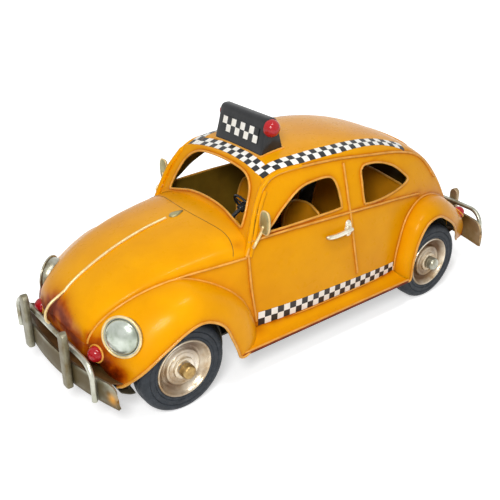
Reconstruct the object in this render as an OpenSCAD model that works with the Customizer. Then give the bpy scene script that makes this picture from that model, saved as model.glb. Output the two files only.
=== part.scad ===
// Tin-plate toy taxi: a rounded two-door saloon built from sheet panels and soldered wire beads.
// +X is forward, +Y is the left side, +Z is up. The origin is on the ground, under the middle of the car.

/* [Overall] */
// Distance between the two axles
wheelbase = 199; // [190:1:208]
// From the front axle to the front of the bumper guards
front_overhang = 54; // [51:0.5:58]
// From the rear axle to the back of the bumper guards
rear_overhang = 67; // [64:0.5:72]
// Width over the two side panels at the sill
body_width = 106; // [102:0.5:108]
// Width over the fenders
fender_width = 128; // [126:0.5:136]
// Height of the roof's crown above the ground
roof_height = 122; // [119:0.5:128]
// Height of the floor's underside above the ground
floor_clearance = 20; // [18:0.25:21]
// Thickness of the tin sheet
sheet_wall = 1; // [0.7:0.05:1.2]
// Gap left at a soldered seam between two panels
seam_gap = 0.35; // [0.25:0.05:0.5]
// Width of a running board past the side
board_width = 9.4; // [8.5:0.1:9.8]
// Narrowing of each side at the windscreen
cowl_taper = 3.3; // [2.8:0.1:3.6]
// Narrowing of each side at the tail
tail_taper = 8.5; // [7.5:0.1:9.5]

/* [Wheels] */
// Tyre outer diameter
tyre_diameter = 52.8; // [50:0.2:54]
// Tyre width
tyre_width = 13; // [11:0.25:13.5]
// Radius of the tyre's shoulders
tyre_shoulder = 3.5; // [2:0.25:5]
// Rim diameter
rim_diameter = 34; // [31:0.25:36]
// Wall of the rim barrel
rim_wall = 1.3; // [1:0.1:1.8]
// Depth of the dish in the wheel disc
disc_dish = 4.6; // [4:0.1:5.2]
// Diameter of the raised plate round the hub
disc_plate_diameter = 22; // [19:0.5:24]
// Diameter of the wheel's hub
hub_diameter = 13; // [11:0.25:15]
// Axle diameter
axle_diameter = 4; // [3:0.1:4.6]
// Running clearance round the axle
axle_fit = 0.06; // [0.03:0.01:0.09]
// Side play between a wheel and its hub cap
wheel_play = 0.4; // [0.3:0.05:0.8]
// Distance of the wheel's face inside the fender's widest line
wheel_inset = 6.5; // [6:0.1:7.5]
// Diameter of the hub cap on the axle's end
hub_cap_diameter = 10; // [8:0.25:11]
// Height of the hub cap
hub_cap_height = 5; // [4.5:0.1:5.5]

/* [Wire beads] */
// Diameter of the soldered wire
bead_diameter = 1.8; // [1.4:0.1:2.2]
// Gap between a wire and the panel under it
bead_gap = 0.12; // [0.1:0.01:0.2]
// Diameter of the wire rolled into a fender's lip
lip_diameter = 2.4; // [1.8:0.1:3]

/* [Lamps] */
// Diameter of a headlight shell
headlight_diameter = 21; // [19:0.25:22]
// Depth of a headlight shell behind its lens seat
headlight_depth = 7.5; // [6.5:0.1:8]
// Height of the headlight lens dome
headlight_dome = 4.5; // [3.5:0.1:5.5]
// Wall of the headlight shell
headlight_wall = 1; // [0.7:0.05:1.2]
// Clearance of a lamp in its hole
lamp_fit = 0.3; // [0.2:0.02:0.4]
// Diameter of a front marker lamp
marker_diameter = 8.8; // [7.5:0.1:9.2]
// Diameter of a tail lamp
tail_lamp_diameter = 8; // [7:0.1:9]
// Length of a small lamp's body in the fender
lamp_body = 3; // [2:0.1:4]

/* [Bumpers] */
// Height of a bumper blade
blade_height = 14; // [11:0.25:15]
// Thickness of a bumper blade
blade_wall = 1.6; // [1.2:0.1:2]
// Half-width of a bumper blade
blade_reach = 59; // [56:0.5:62]
// How far a blade's ends bend back
blade_sweep = 9.5; // [7:0.25:11]
// Width of a bumper guard
guard_width = 7; // [5.5:0.25:8.5]
// Thickness of a bumper guard
guard_wall = 2.4; // [2:0.1:3]
// Height of a bumper guard
guard_height = 33; // [29:0.5:36]
// Distance of a guard from the middle of the car
guard_offset = 24; // [21:0.5:27]
// Diameter of the bumper bow's wire
bow_diameter = 3.2; // [2.6:0.1:3.6]
// Distance of the front bow's legs from the middle of the car
front_bow_reach = 46; // [43:0.5:52]
// Distance of the rear bow's legs from the middle of the car
rear_bow_reach = 53; // [49:0.5:55]
// Height of the front bow's top bar above the blade's lower edge
front_bow_height = 22; // [19:0.5:25]
// Height of the rear bow's top bar above the blade's lower edge
rear_bow_height = 25; // [22:0.5:28]
// Width of a bumper iron
iron_width = 6; // [4:0.25:8]
// Thickness of a bumper iron
iron_wall = 2; // [1.5:0.1:2.3]

/* [Trim] */
// Length of the roof sign
sign_length = 44; // [38:0.5:50]
// Height of the roof sign above the roof
sign_height = 19; // [16:0.25:22]
// Depth of the roof sign at its foot
sign_foot = 16; // [14:0.25:18]
// Depth of the roof sign at its top
sign_top = 8; // [7:0.25:10]
// Diameter of the sign's end lamps
sign_lamp_diameter = 7.2; // [6:0.1:7.6]
// Width of the bonnet strip
strip_width = 2.2; // [1.6:0.1:3]
// Thickness of the bonnet strip
strip_wall = 0.9; // [0.7:0.05:1.2]
// Length of the bonnet badge
badge_length = 11; // [9:0.25:13]
// Diameter of the bonnet badge's head
badge_diameter = 5; // [4:0.1:6]
// Thickness of the bonnet badge
badge_wall = 1.4; // [1:0.1:2]
// Width of a mirror's head
mirror_width = 9.5; // [8:0.25:11]
// Height of a mirror's head
mirror_height = 13; // [11:0.25:15]
// Thickness of a mirror's head
mirror_wall = 1.8; // [1.4:0.1:2.4]
// Diameter of a mirror's stalk
stalk_diameter = 1.8; // [1.4:0.1:2.2]
// Length of a door handle's lever
handle_length = 18.5; // [16:0.25:21]
// Height of a door handle's lever
handle_height = 3; // [2.4:0.1:3.6]
// Thickness of a door handle's lever
handle_wall = 1.8; // [1.4:0.1:2.2]
// Stand-off of a door handle from the door
handle_stand = 2; // [1.5:0.1:3]

/* [Inside] */
// Thickness of the floor plate
floor_wall = 1.2; // [1:0.1:1.6]
// Half-width of the floor between the wheels
floor_neck = 36; // [33:0.5:38]
// Width of a front seat
seat_width = 34; // [30:0.5:37]
// Width of the rear bench
bench_width = 68; // [60:0.5:70]
// Length of a seat cushion
cushion_length = 32; // [28:0.5:35]
// Height of a cushion above the floor
cushion_height = 22; // [19:0.5:25]
// Height of a seat back above its cushion
seat_back_height = 34; // [30:0.5:37]
// Lean of a seat back
seat_back_lean = 10; // [7:0.5:12]
// Steering wheel diameter
steering_diameter = 17; // [15:0.25:19]
// Diameter of the steering wheel's rim wire
steering_wire = 1.6; // [1.3:0.1:2]
// Steering column diameter
column_diameter = 2.4; // [2:0.1:2.8]
// Diameter of the steering wheel's hub
steering_hub_diameter = 5; // [4.5:0.1:6]
// Thickness of the dashboard plate
dash_wall = 1.2; // [1:0.1:1.6]
// Thickness of an axle bracket
bracket_wall = 2.4; // [2:0.1:3]
// Length of an axle bracket along the car
bracket_length = 14; // [12:0.5:18]

/* [Hidden] */
$fn = 48;

// Colours
paint = "#eda012";
wire_paint = "#d99233";
pewter = "#8f8d80";
rubber = "#2d333b";
lamp_red = "#c3202c";

// Places along the car: 0 is the rear axle, 1 the front axle, -1 the rear end and 2 the front end.
half_length = (wheelbase + front_overhang + rear_overhang) / 2;
front_axle_x = half_length - front_overhang;
rear_axle_x = rear_overhang - half_length;
function station(share) =
    share > 1 ? front_axle_x + (share - 1) * front_overhang
    : share < 0 ? rear_axle_x + share * rear_overhang
    : rear_axle_x + share * wheelbase;
function place(shares) = [station(shares[0]), shares[1] * roof_height];
function places(table_shares) = [for (shares = table_shares) place(shares)];

// Outlines, as shares: station along the car, then height as a share of the roof's height.
bonnet_centre_shares = [[0.724, 0.725], [0.839, 0.709], [0.955, 0.675], [1.222, 0.619], [1.593, 0.537],
    [1.769, 0.463], [1.815, 0.377]];
bonnet_edge_shares = [[0.756, 0.605], [0.854, 0.598], [0.955, 0.587], [1.23, 0.553], [1.556, 0.473],
    [1.72, 0.407], [1.752, 0.349]];
screen_centre_shares = [[0.724, 0.725], [0.687, 0.836], [0.651, 0.947]];
screen_edge_shares = [[0.755, 0.612], [0.711, 0.791], [0.673, 0.885]];
roof_centre_shares = [[0.651, 0.947], [0.568, 0.984], [0.417, 0.998], [0.241, 0.98], [0.065, 0.902],
    [-0.209, 0.754], [-0.478, 0.574], [-0.627, 0.393], [-0.672, 0.262]];
roof_edge_shares = [[0.673, 0.885], [0.608, 0.929], [0.427, 0.926], [0.266, 0.9], [0.106, 0.861],
    [0.005, 0.791], [-0.254, 0.615], [-0.463, 0.451], [-0.552, 0.287]];
// The aprons end above the bumper irons.
apron_gap = 0.85;
apron_foot_share = (floor_clearance + floor_wall + iron_wall + apron_gap) / roof_height;
front_apron_centre_shares = [[1.808, 0.37], [1.79, 0.28], [1.722, apron_foot_share]];
front_apron_edge_shares = [[1.745, 0.342], [1.718, 0.265], [1.626, apron_foot_share]];
rear_apron_centre_shares = [[-0.672, 0.256], [-0.664, (0.256 + apron_foot_share) / 2], [-0.645, apron_foot_share]];
rear_apron_edge_shares = [[-0.552, 0.281], [-0.55, (0.281 + apron_foot_share) / 2], [-0.545, apron_foot_share]];
front_fender_root_shares = [[1.69, 0.262], [1.752, 0.361], [1.628, 0.449], [1.374, 0.524], [1.067, 0.571],
    [0.943, 0.579], [0.854, 0.513], [0.781, 0.41], [0.744, 0.283], [0.739, 0.197]];
rear_fender_root_shares = [[0.148, 0.18], [0.148, 0.303], [0.128, 0.434], [0.093, 0.529], [0.025, 0.584],
    [-0.164, 0.57], [-0.418, 0.496], [-0.612, 0.406], [-0.746, 0.32], [-0.784, 0.254]];
door_window_shares = [[0.681, 0.701], [0.656, 0.734], [0.616, 0.787], [0.548, 0.846], [0.487, 0.861],
    [0.432, 0.856], [0.412, 0.824], [0.404, 0.754], [0.403, 0.713], [0.415, 0.7], [0.528, 0.699],
    [0.661, 0.697]];
quarter_window_shares = [[0.306, 0.82], [0.296, 0.852], [0.276, 0.862], [0.221, 0.852], [0.161, 0.816],
    [0.116, 0.762], [0.093, 0.724], [0.113, 0.702], [0.171, 0.684], [0.236, 0.675], [0.291, 0.678],
    [0.308, 0.695]];
belt_shares = [[0.746, 0.675], [0.603, 0.68], [0.372, 0.665], [0.236, 0.652], [0.141, 0.639], [0.035, 0.616]];
post_shares = [[0.366, 0.91], [0.372, 0.787], [0.37, 0.664], [0.354, 0.475], [0.334, 0.32]];
door_front_shares = [[0.75, 0.6], [0.745, 0.439], [0.728, 0.262]];

// Fender lips: station, then share of the fenders' reach past the sides, then share of the tyre's diameter.
fender_reach = (fender_width - body_width) / 2;
front_lip_shares = [[1.648, -0.635, 0.455], [1.602, -0.18, 0.511], [1.472, 0.545, 0.691], [1.241, 0.727, 0.853],
    [1, 0.837, 0.994], [0.945, 0.873, 1.024], [0.889, 0.884, 0.899], [0.859, 0.884, 0.682],
    [0.839, 0.884, 0.492], [0.834, 0.884, 0.397]];
rear_lip_shares = [[0.118, 0.802, 0.397], [0.116, 0.837, 0.682], [0.103, 0.873, 0.929], [0.068, 0.884, 1.137],
    [0.015, 0.884, 1.192], [-0.119, 0.802, 1.088], [-0.269, 0.651, 0.947], [-0.388, 0.36, 0.776],
    [-0.493, -0.047, 0.635], [-0.567, -0.309, 0.55]];

// Fullness of each fender's arc, row by row: 2 is a quarter ellipse, less is flatter.
front_fullness_shares = [1.3, 1.3, 1.36, 1.6, 1.9, 2, 2, 2, 2, 2];
rear_fullness_shares = [2, 2, 2, 2, 2, 2, 2, 2, 2, 2];

// Windscreen and rear window openings: share of the half-width over the sides, then of the roof's height.
screen_opening_shares = [[0.68, 0.71], [0.676, 0.75], [0.65, 0.8], [0.6, 0.858], [0.5, 0.9], [0.34, 0.922],
    [0, 0.93], [-0.34, 0.922], [-0.5, 0.9], [-0.6, 0.858], [-0.65, 0.8], [-0.676, 0.75], [-0.68, 0.71],
    [-0.6, 0.714], [-0.3, 0.744], [0, 0.752], [0.3, 0.744], [0.6, 0.714]];
rear_opening_shares = [[0.4, 0.74], [0.44, 0.79], [0.4, 0.845], [0, 0.862], [-0.4, 0.845], [-0.44, 0.79],
    [-0.4, 0.74], [0, 0.73]];

// Half-width of the side: share of the roof's height, then share of half the body's width.
side_profile_shares = [[0.164, 0.991], [0.287, 1], [0.41, 1], [0.541, 0.981], [0.656, 0.949], [0.787, 0.874],
    [0.869, 0.802], [0.926, 0.743], [0.967, 0.679]];
cowl_start_share = 0.492;
cowl_end_share = 0.749;
tail_start_share = 0.317;
tail_end_share = -0.254;
tail_limit_share = 1.2;

// Fullness of the panels' cross-section: 2 is an ellipse, more is squarer.
crown_power_share = 2.2;

// Smooth curve through a table of points, with a whole number at each point.
function catmull(points, u) =
    let (last = len(points) - 1, i = min(max(floor(u), 0), last - 1), t = u - i)
    let (b = points[i], c = points[i + 1])
    let (a = i > 0 ? points[i - 1] : 2 * b - c, d = i + 2 <= last ? points[i + 2] : 2 * c - b)
    (2 * b + (c - a) * t + (2 * a - 5 * b + 4 * c - d) * t * t + (3 * b - a - 3 * c + d) * t * t * t) / 2;
function curve(points, from, to, steps) =
    [for (k = [0 : steps]) catmull(points, from + (to - from) * k / steps)];
function loop_curve(points, steps) =
    let (n = len(points), wrapped = concat([points[n - 1]], points, [points[0], points[1]]))
    [for (i = [1 : n], k = [0 : steps - 1]) catmull(wrapped, i + k / steps)];

// Half-width of the car's side at a place.
function profile_width(height_share) =
    let (table = side_profile_shares, below = len([for (row = table) if (row[0] <= height_share) row]))
    let (i = min(max(below - 1, 0), len(table) - 2))
    let (u = i + (height_share - table[i][0]) / (table[i + 1][0] - table[i][0]))
    catmull([for (row = table) row[1]], u);
function narrowing(x) =
    let (front = max(0, x - station(cowl_start_share)) / (station(cowl_end_share) - station(cowl_start_share)))
    let (rear = max(0, station(tail_start_share) - x) / (station(tail_start_share) - station(tail_end_share)))
    cowl_taper * front * front + tail_taper * pow(min(rear, tail_limit_share), 2);
function side_y(x, z) = body_width / 2 * profile_width(max(z, floor_clearance) / roof_height) - narrowing(x);
function on_side(point, out = 0) = [point[0], side_y(point[0], point[1]) + out, point[1]];

// Crowned panels: an arc from the middle line to the edge line on the car's side.
function crown(centre, edge, t) =
    let (side = sign(t) * pow(abs(sin(90 * t)), 2 / crown_power_share))
    let (drop = 1 - pow(cos(90 * t), 2 / crown_power_share))
    [centre[0] + (edge[0] - centre[0]) * drop, edge[1] * side, centre[1] + (edge[2] - centre[1]) * drop];
function crown_grid(centre_shares, edge_shares, us, half_steps, spread = 1) =
    let (centre = places(centre_shares), edge = places(edge_shares))
    [for (u = us) [for (k = [-half_steps : half_steps])
        crown(catmull(centre, u), on_side(catmull(edge, u)), spread * k / half_steps)]];
function steps_between(from, to, count) = [for (k = [0 : count]) from + (to - from) * k / count];

// Fenders: an arc from the root line on the body to the lip.
function lip_point(shares) =
    [station(shares[0]), body_width / 2 + shares[1] * fender_reach, shares[2] * tyre_diameter];
function fender_arc(root, lip, fullness, t) =
    let (side = pow(sin(90 * t), 2 / fullness), drop = 1 - pow(cos(90 * t), 2 / fullness))
    [root[0] + (lip[0] - root[0]) * drop, root[1] + (lip[1] - root[1]) * side,
        root[2] + (lip[2] - root[2]) * drop];
function fender_point(front, u, t) =
    let (root_shares = front ? front_fender_root_shares : rear_fender_root_shares)
    let (lip_shares = front ? front_lip_shares : rear_lip_shares)
    let (fullness_shares = front ? front_fullness_shares : rear_fullness_shares)
    fender_arc(on_side(catmull(places(root_shares), u), seam_gap),
        catmull([for (shares = lip_shares) lip_point(shares)], u), catmull(fullness_shares, u), t);
function fender_grid(front, us, steps) =
    [for (u = us) [for (k = [0 : steps]) fender_point(front, u, k / steps)]];

// Sheet metal: a grid of points on the outer face, given a wall inwards.
function unit(v) = v / norm(v);
function grid_normal(grid, i, j) =
    let (rows = len(grid) - 1, columns = len(grid[0]) - 1)
    unit(cross(grid[min(i + 1, rows)][j] - grid[max(i - 1, 0)][j],
        grid[i][min(j + 1, columns)] - grid[i][max(j - 1, 0)]));
function lifted(grid, rise) =
    [for (i = [0 : len(grid) - 1]) [for (j = [0 : len(grid[0]) - 1])
        grid[i][j] + rise * grid_normal(grid, i, j)]];
module sheet(grid, wall) {
    rows = len(grid) - 1;
    columns = len(grid[0]) - 1;
    inner = lifted(grid, -wall);
    count = (rows + 1) * (columns + 1);
    points = concat([for (row = grid) each row], [for (row = inner) each row]);
    function at(i, j) = i * (columns + 1) + j;
    function quad(a, b, c, d) = [[a, b, c], [a, c, d]];
    faces = concat(
        [for (i = [0 : rows - 1], j = [0 : columns - 1])
            each quad(at(i, j), at(i, j + 1), at(i + 1, j + 1), at(i + 1, j))],
        [for (i = [0 : rows - 1], j = [0 : columns - 1])
            each quad(count + at(i, j), count + at(i + 1, j), count + at(i + 1, j + 1), count + at(i, j + 1))],
        [for (i = [0 : rows - 1])
            each quad(at(i, 0), at(i + 1, 0), count + at(i + 1, 0), count + at(i, 0))],
        [for (i = [0 : rows - 1])
            each quad(at(i + 1, columns), at(i, columns), count + at(i, columns), count + at(i + 1, columns))],
        [for (j = [0 : columns - 1])
            each quad(at(0, j + 1), at(0, j), count + at(0, j), count + at(0, j + 1))],
        [for (j = [0 : columns - 1])
            each quad(at(rows, j), at(rows, j + 1), count + at(rows, j + 1), count + at(rows, j))]);
    polyhedron(points, faces, convexity = 6);
}

// Wire: a round bar swept along a path. The reference direction is never along the path.
wire_sides = 6;
module wire(path, diameter, reference, closed = false) {
    n = len(path);
    function near(k) = closed ? (k + n) % n : min(max(k, 0), n - 1);
    rings = [for (k = [0 : n - 1])
        let (along = unit(path[near(k + 1)] - path[near(k - 1)]))
        let (across = unit(cross(along, reference)), up = cross(across, along))
        [for (s = [0 : wire_sides - 1])
            path[k] + diameter / 2 * (cos(360 * s / wire_sides) * across + sin(360 * s / wire_sides) * up)]];
    function at(k, s) = (k % n) * wire_sides + s % wire_sides;
    last = closed ? n - 1 : n - 2;
    sides = [for (k = [0 : last], s = [0 : wire_sides - 1])
        each [[at(k, s), at(k, s + 1), at(k + 1, s + 1)], [at(k, s), at(k + 1, s + 1), at(k + 1, s)]]];
    caps = closed ? [] : [[for (s = [wire_sides - 1 : -1 : 0]) at(0, s)],
        [for (s = [0 : wire_sides - 1]) at(n - 1, s)]];
    polyhedron([for (ring = rings) each ring], concat(sides, caps), convexity = 6);
}

// One mesh of everything inside, for shells cut by curved outlines.
module one_mesh() {
    resize([0, 0, 0]) union() children();
}

// A plate through the car's side, from an outline of places along and up.
module side_prism(outline) {
    translate([0, fender_width / 2, 0]) rotate([90, 0, 0]) linear_extrude(fender_width / 2) polygon(outline);
}

// A bar through the car's end, from an outline of places across and up.
module end_prism(outline, x, reach) {
    translate([x, 0, 0]) rotate([90, 0, 90]) linear_extrude(reach) polygon(outline);
}
function opening(table_shares) =
    loop_curve([for (p = table_shares) [p[0] * body_width / 2, p[1] * roof_height]], 4);

// Main values that several pieces share
axle_z = tyre_diameter / 2;
wheel_face_y = fender_width / 2 - wheel_inset;
floor_top = floor_clearance + floor_wall;
side_sheet_steps = 26;
side_sheet_rows = 14;
bead_out = bead_diameter / 2 + bead_gap;

// Bonnet, windscreen frame, roof and tail
bonnet_rows = 22;
crown_steps = 10;
hem_share = 0.07;
frame_spread_share = 0.8;
roof_end_share = 4;
tail_end_row_share = 8;
row_seam_share = 0.012;
function bonnet_grid() = crown_grid(bonnet_centre_shares, bonnet_edge_shares,
    steps_between(0, len(bonnet_centre_shares) - 1, bonnet_rows), crown_steps);
function roof_grid(from, to, rows, spread) = crown_grid(roof_centre_shares, roof_edge_shares,
    steps_between(from, to, rows), crown_steps, spread);

module bonnet() {
    color(paint) sheet(bonnet_grid(), sheet_wall);
}

module windscreen_frame() {
    rows = 8;
    grid = crown_grid(screen_centre_shares, screen_edge_shares,
        steps_between(len(screen_centre_shares) - 1 - hem_share, hem_share / 2, rows), crown_steps,
        frame_spread_share);
    color(paint) one_mesh() difference() {
        sheet(grid, sheet_wall);
        end_prism(opening(screen_opening_shares), 0, half_length);
    }
}

module roof_panel() {
    rows = 16;
    color(paint) sheet(roof_grid(roof_end_share - row_seam_share, 0, rows, 1), sheet_wall);
}

module tail_panel() {
    rows = 18;
    color(paint) one_mesh() difference() {
        sheet(roof_grid(tail_end_row_share, roof_end_share + row_seam_share, rows, 1), sheet_wall);
        end_prism(opening(rear_opening_shares), -half_length, half_length);
    }
}

// Side panel: front quarter, door and rear quarter in one sheet, with two windows and the wheel arch.
arch_gap = 4.6;
arch_radius = tyre_diameter / 2 + arch_gap;
side_rear_share = 7.3;
side_foot_share = 0.37;
function side_outline() = concat(
    [[station(front_fender_root_shares[9][0]), floor_clearance]],
    [for (u = [9 : -0.25 : 5]) catmull(places(front_fender_root_shares), u)],
    [for (u = [1.9 : -0.25 : 0]) catmull(places(bonnet_edge_shares), u)],
    curve(places(screen_edge_shares), 0, 2, 8),
    curve(places(roof_edge_shares), 0.1, side_rear_share, 40),
    [[rear_axle_x, side_foot_share * roof_height], [rear_axle_x, floor_clearance]]);
module side_shell() {
    x_from = station(roof_edge_shares[8][0]);
    x_to = station(1);
    z_from = floor_clearance;
    z_to = roof_height;
    grid = [for (z = steps_between(z_from, z_to, side_sheet_rows))
        [for (x = steps_between(x_from, x_to, side_sheet_steps)) on_side([x, z])]];
    sheet(grid, sheet_wall);
}
module side_panel() {
    color(paint) one_mesh() difference() {
        intersection() {
            side_shell();
            translate([0, fender_width / 2, 0]) rotate([90, 0, 0]) linear_extrude(fender_width / 2)
                offset(delta = -seam_gap) polygon(side_outline());
        }
        side_prism(loop_curve(places(door_window_shares), 4));
        side_prism(loop_curve(places(quarter_window_shares), 4));
        translate([rear_axle_x, 0, axle_z]) rotate([-90, 0, 0]) cylinder(r = arch_radius, h = fender_width);
    }
}
module side_panel_left() { side_panel(); }
module side_panel_right() { mirror([0, 1, 0]) side_panel(); }

// Aprons close the nose and the tail below the panels.
module front_apron() {
    rows = 6;
    color(paint) sheet(crown_grid(front_apron_centre_shares, front_apron_edge_shares,
        steps_between(0, 2, rows), crown_steps), sheet_wall);
}
module rear_apron() {
    rows = 4;
    color(paint) sheet(crown_grid(rear_apron_centre_shares, rear_apron_edge_shares,
        steps_between(2, 0, rows), crown_steps), sheet_wall);
}

// Fenders, with holes for the lamps
fender_rows = 23;
fender_steps = 7;
// Lamp seats: the fender's row, then the share of its arc from the root to the lip.
headlight_seat_shares = [2.2, 0.38];
headlight_splay = 28;
headlight_tilt = 10;
headlight_stand = 1.4;
marker_seat_shares = [0.62, 0.3];
marker_splay = 16;
marker_tilt = 8;
tail_lamp_seat_shares = [7.6, 0.3];
tail_lamp_splay = 168;
tail_lamp_tilt = 40;
module lamp_place(front, seat_shares, splay, tilt, stand = 0) {
    translate(fender_point(front, seat_shares[0], seat_shares[1])) rotate([0, 0, splay])
        rotate([0, 90 - tilt, 0]) translate([0, 0, stand]) children();
}
module headlight_place() {
    lamp_place(true, headlight_seat_shares, headlight_splay, headlight_tilt, headlight_stand) children();
}
module marker_place() {
    lamp_place(true, marker_seat_shares, marker_splay, marker_tilt) children();
}
module tail_lamp_place() {
    lamp_place(false, tail_lamp_seat_shares, tail_lamp_splay, tail_lamp_tilt) children();
}
module lamp_hole(diameter) {
    translate([0, 0, -diameter]) cylinder(d = diameter + 2 * lamp_fit, h = 2 * diameter);
}
// Outer outline of a headlight shell, from its mouth to the back
function shell_outline(grow = 0) =
    let (r = headlight_diameter / 2, d = headlight_depth)
    [[r + grow, -d / 3], [r * 0.8 + grow, -d * 0.7 - grow], [r * 0.5 + grow, -d * 0.95 - grow],
        [0, -d - grow]];
module headlight_hole() {
    r = headlight_diameter / 2;
    headlight_place() rotate_extrude()
        polygon(concat([[0, r], [r + lamp_fit, r]], shell_outline(lamp_fit)));
}
module fender(front) {
    us = steps_between(len(front_lip_shares) - 1, 0, fender_rows);
    grid = fender_grid(front, us, fender_steps);
    sheet(grid, sheet_wall);
    wire([for (row = grid) row[fender_steps]], lip_diameter, [0, 1, 0]);
}
module front_fender() {
    color(paint) one_mesh() difference() {
        fender(true);
        headlight_hole();
        marker_place() lamp_hole(marker_diameter);
    }
}
module rear_fender() {
    color(paint) one_mesh() difference() {
        fender(false);
        tail_lamp_place() lamp_hole(tail_lamp_diameter);
    }
}
module front_fender_left() { front_fender(); }
module front_fender_right() { mirror([0, 1, 0]) front_fender(); }
module rear_fender_left() { rear_fender(); }
module rear_fender_right() { mirror([0, 1, 0]) rear_fender(); }

// Running boards: a sloping tread with a turned-down edge, fitted along the sill.
board_inner_share = 0.238;
board_outer_share = 0.2;
board_drop = 3.4;
board_front_shares = [0.731, 0.771];
board_rear_share = 0.153;
board_steps = 12;
module running_board() {
    edge_y = body_width / 2 + board_width;
    inner_y = body_width / 2 - cowl_taper - sheet_wall;
    high = board_inner_share * roof_height;
    low = board_outer_share * roof_height;
    tread = [[inner_y, high], [edge_y, low], [edge_y, low - board_drop],
        [edge_y - sheet_wall, low - board_drop], [edge_y - sheet_wall, low - sheet_wall],
        [inner_y, high - sheet_wall]];
    xs = steps_between(station(board_rear_share), station(board_front_shares[0]), board_steps);
    plan = concat([for (x = xs) [x, side_y(x, low) + seam_gap]],
        [[station(board_front_shares[1]), edge_y + seam_gap], [station(board_rear_share), edge_y + seam_gap]]);
    color(paint) intersection() {
        translate([rear_axle_x, 0, 0]) rotate([90, 0, 90]) linear_extrude(wheelbase) polygon(tread);
        linear_extrude(roof_height) polygon(plan);
    }
}
module running_board_left() { running_board(); }
module running_board_right() { mirror([0, 1, 0]) running_board(); }

// Floor: a flat plate, as wide as the cabin between the wheels and narrow beside them.
floor_front_share = 1.64;
floor_rear_share = -0.56;
floor_cabin_shares = [0.16, 0.72];
floor_shoulder_share = 1.2;
module floor_pan() {
    inset = sheet_wall + seam_gap;
    xs = steps_between(station(floor_cabin_shares[0]), station(floor_cabin_shares[1]), 10);
    nose = side_y(station(floor_front_share), floor_clearance) - inset;
    left = concat([[station(floor_rear_share), floor_neck], [station(floor_cabin_shares[0]), floor_neck]],
        [for (x = xs) [x, side_y(x, floor_clearance) - inset]],
        [[station(floor_cabin_shares[1]), floor_neck], [station(floor_shoulder_share), floor_neck],
            [station(floor_front_share), nose]]);
    right = [for (k = [len(left) - 1 : -1 : 0]) [left[k][0], -left[k][1]]];
    color("#6f6040") translate([0, 0, floor_clearance]) linear_extrude(floor_wall)
        polygon(concat(left, right));
}

// Engine lid: a plate raised on the tail, with a catch.
lid_rows_share = [7.55, 5.35];
lid_spread_share = 0.4;
lid_rows = 9;
lid_grid = lifted(crown_grid(roof_centre_shares, roof_edge_shares,
    steps_between(lid_rows_share[0], lid_rows_share[1], lid_rows), crown_steps, lid_spread_share),
    sheet_wall + seam_gap);
module engine_lid() {
    color(paint) sheet(lid_grid, sheet_wall);
}

// Wire beads
function side_wire(points) = [for (p = points) on_side(p, bead_out)];
module side_beads() {
    across = [0, 1, 0];
    drip = concat(curve(places(screen_edge_shares), 0.12, 1.9, 7),
        curve(places(roof_edge_shares), 0, 5.6, 28));
    color(wire_paint) one_mesh() {
        wire(side_wire(drip), bead_diameter, across);
        wire(side_wire(curve(places(belt_shares), 0.16, 5, 12)), bead_diameter, across);
        wire(side_wire(curve(places(post_shares), 0.15, 1.84, 5)), bead_diameter, across);
        wire(side_wire(curve(places(post_shares), 2.1, 4, 5)), bead_diameter, across);
        wire(side_wire(curve(places(door_front_shares), 0, 2, 6)), bead_diameter, across);
        wire(side_wire(loop_curve(places(door_window_shares), 3)), bead_diameter, across, true);
        wire(side_wire(loop_curve(places(quarter_window_shares), 3)), bead_diameter, across, true);
    }
}
module side_beads_left() { side_beads(); }
module side_beads_right() { mirror([0, 1, 0]) side_beads(); }

// Place along the car of a crowned panel's outer face, for a point across and up. Rows run from high to low.
function crown_x(centre_shares, edge_shares, us, point) =
    let (centre = places(centre_shares), edge = places(edge_shares))
    let (rows = [for (u = us)
        let (c = catmull(centre, u), e = on_side(catmull(edge, u)))
        crown(c, e, asin(pow(abs(point[0]) / e[1], crown_power_share / 2)) / 90)])
    let (i = max(len([for (row = rows) if (row[2] >= point[1]) row]) - 1, 0))
    let (a = rows[i], b = rows[min(i + 1, len(rows) - 1)])
    a[0] + (b[0] - a[0]) * (point[1] - a[2]) / (b[2] - a[2]);
function square_to(low, high) = unit([high[1] - low[1], 0, low[0] - high[0]]);
bead_rise_share = 1.25;
module windscreen_bead() {
    lean = square_to(place(screen_centre_shares[0]), place(screen_centre_shares[2]));
    us = steps_between(len(screen_centre_shares) - 1, -1, 30);
    path = [for (p = opening(screen_opening_shares))
        [crown_x(screen_centre_shares, screen_edge_shares, us, p), p[0], p[1]]
            + bead_rise_share * bead_out * lean];
    color(wire_paint) wire(path, bead_diameter, lean, true);
}
module rear_window_bead() {
    lean = square_to(place(roof_centre_shares[4]), place(roof_centre_shares[5]));
    us = steps_between(3.5, 6.5, 40);
    path = [for (p = opening(rear_opening_shares))
        [crown_x(roof_centre_shares, roof_edge_shares, us, p), p[0], p[1]]
            + bead_rise_share * bead_out * lean];
    color(wire_paint) wire(path, bead_diameter, lean, true);
}

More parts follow.
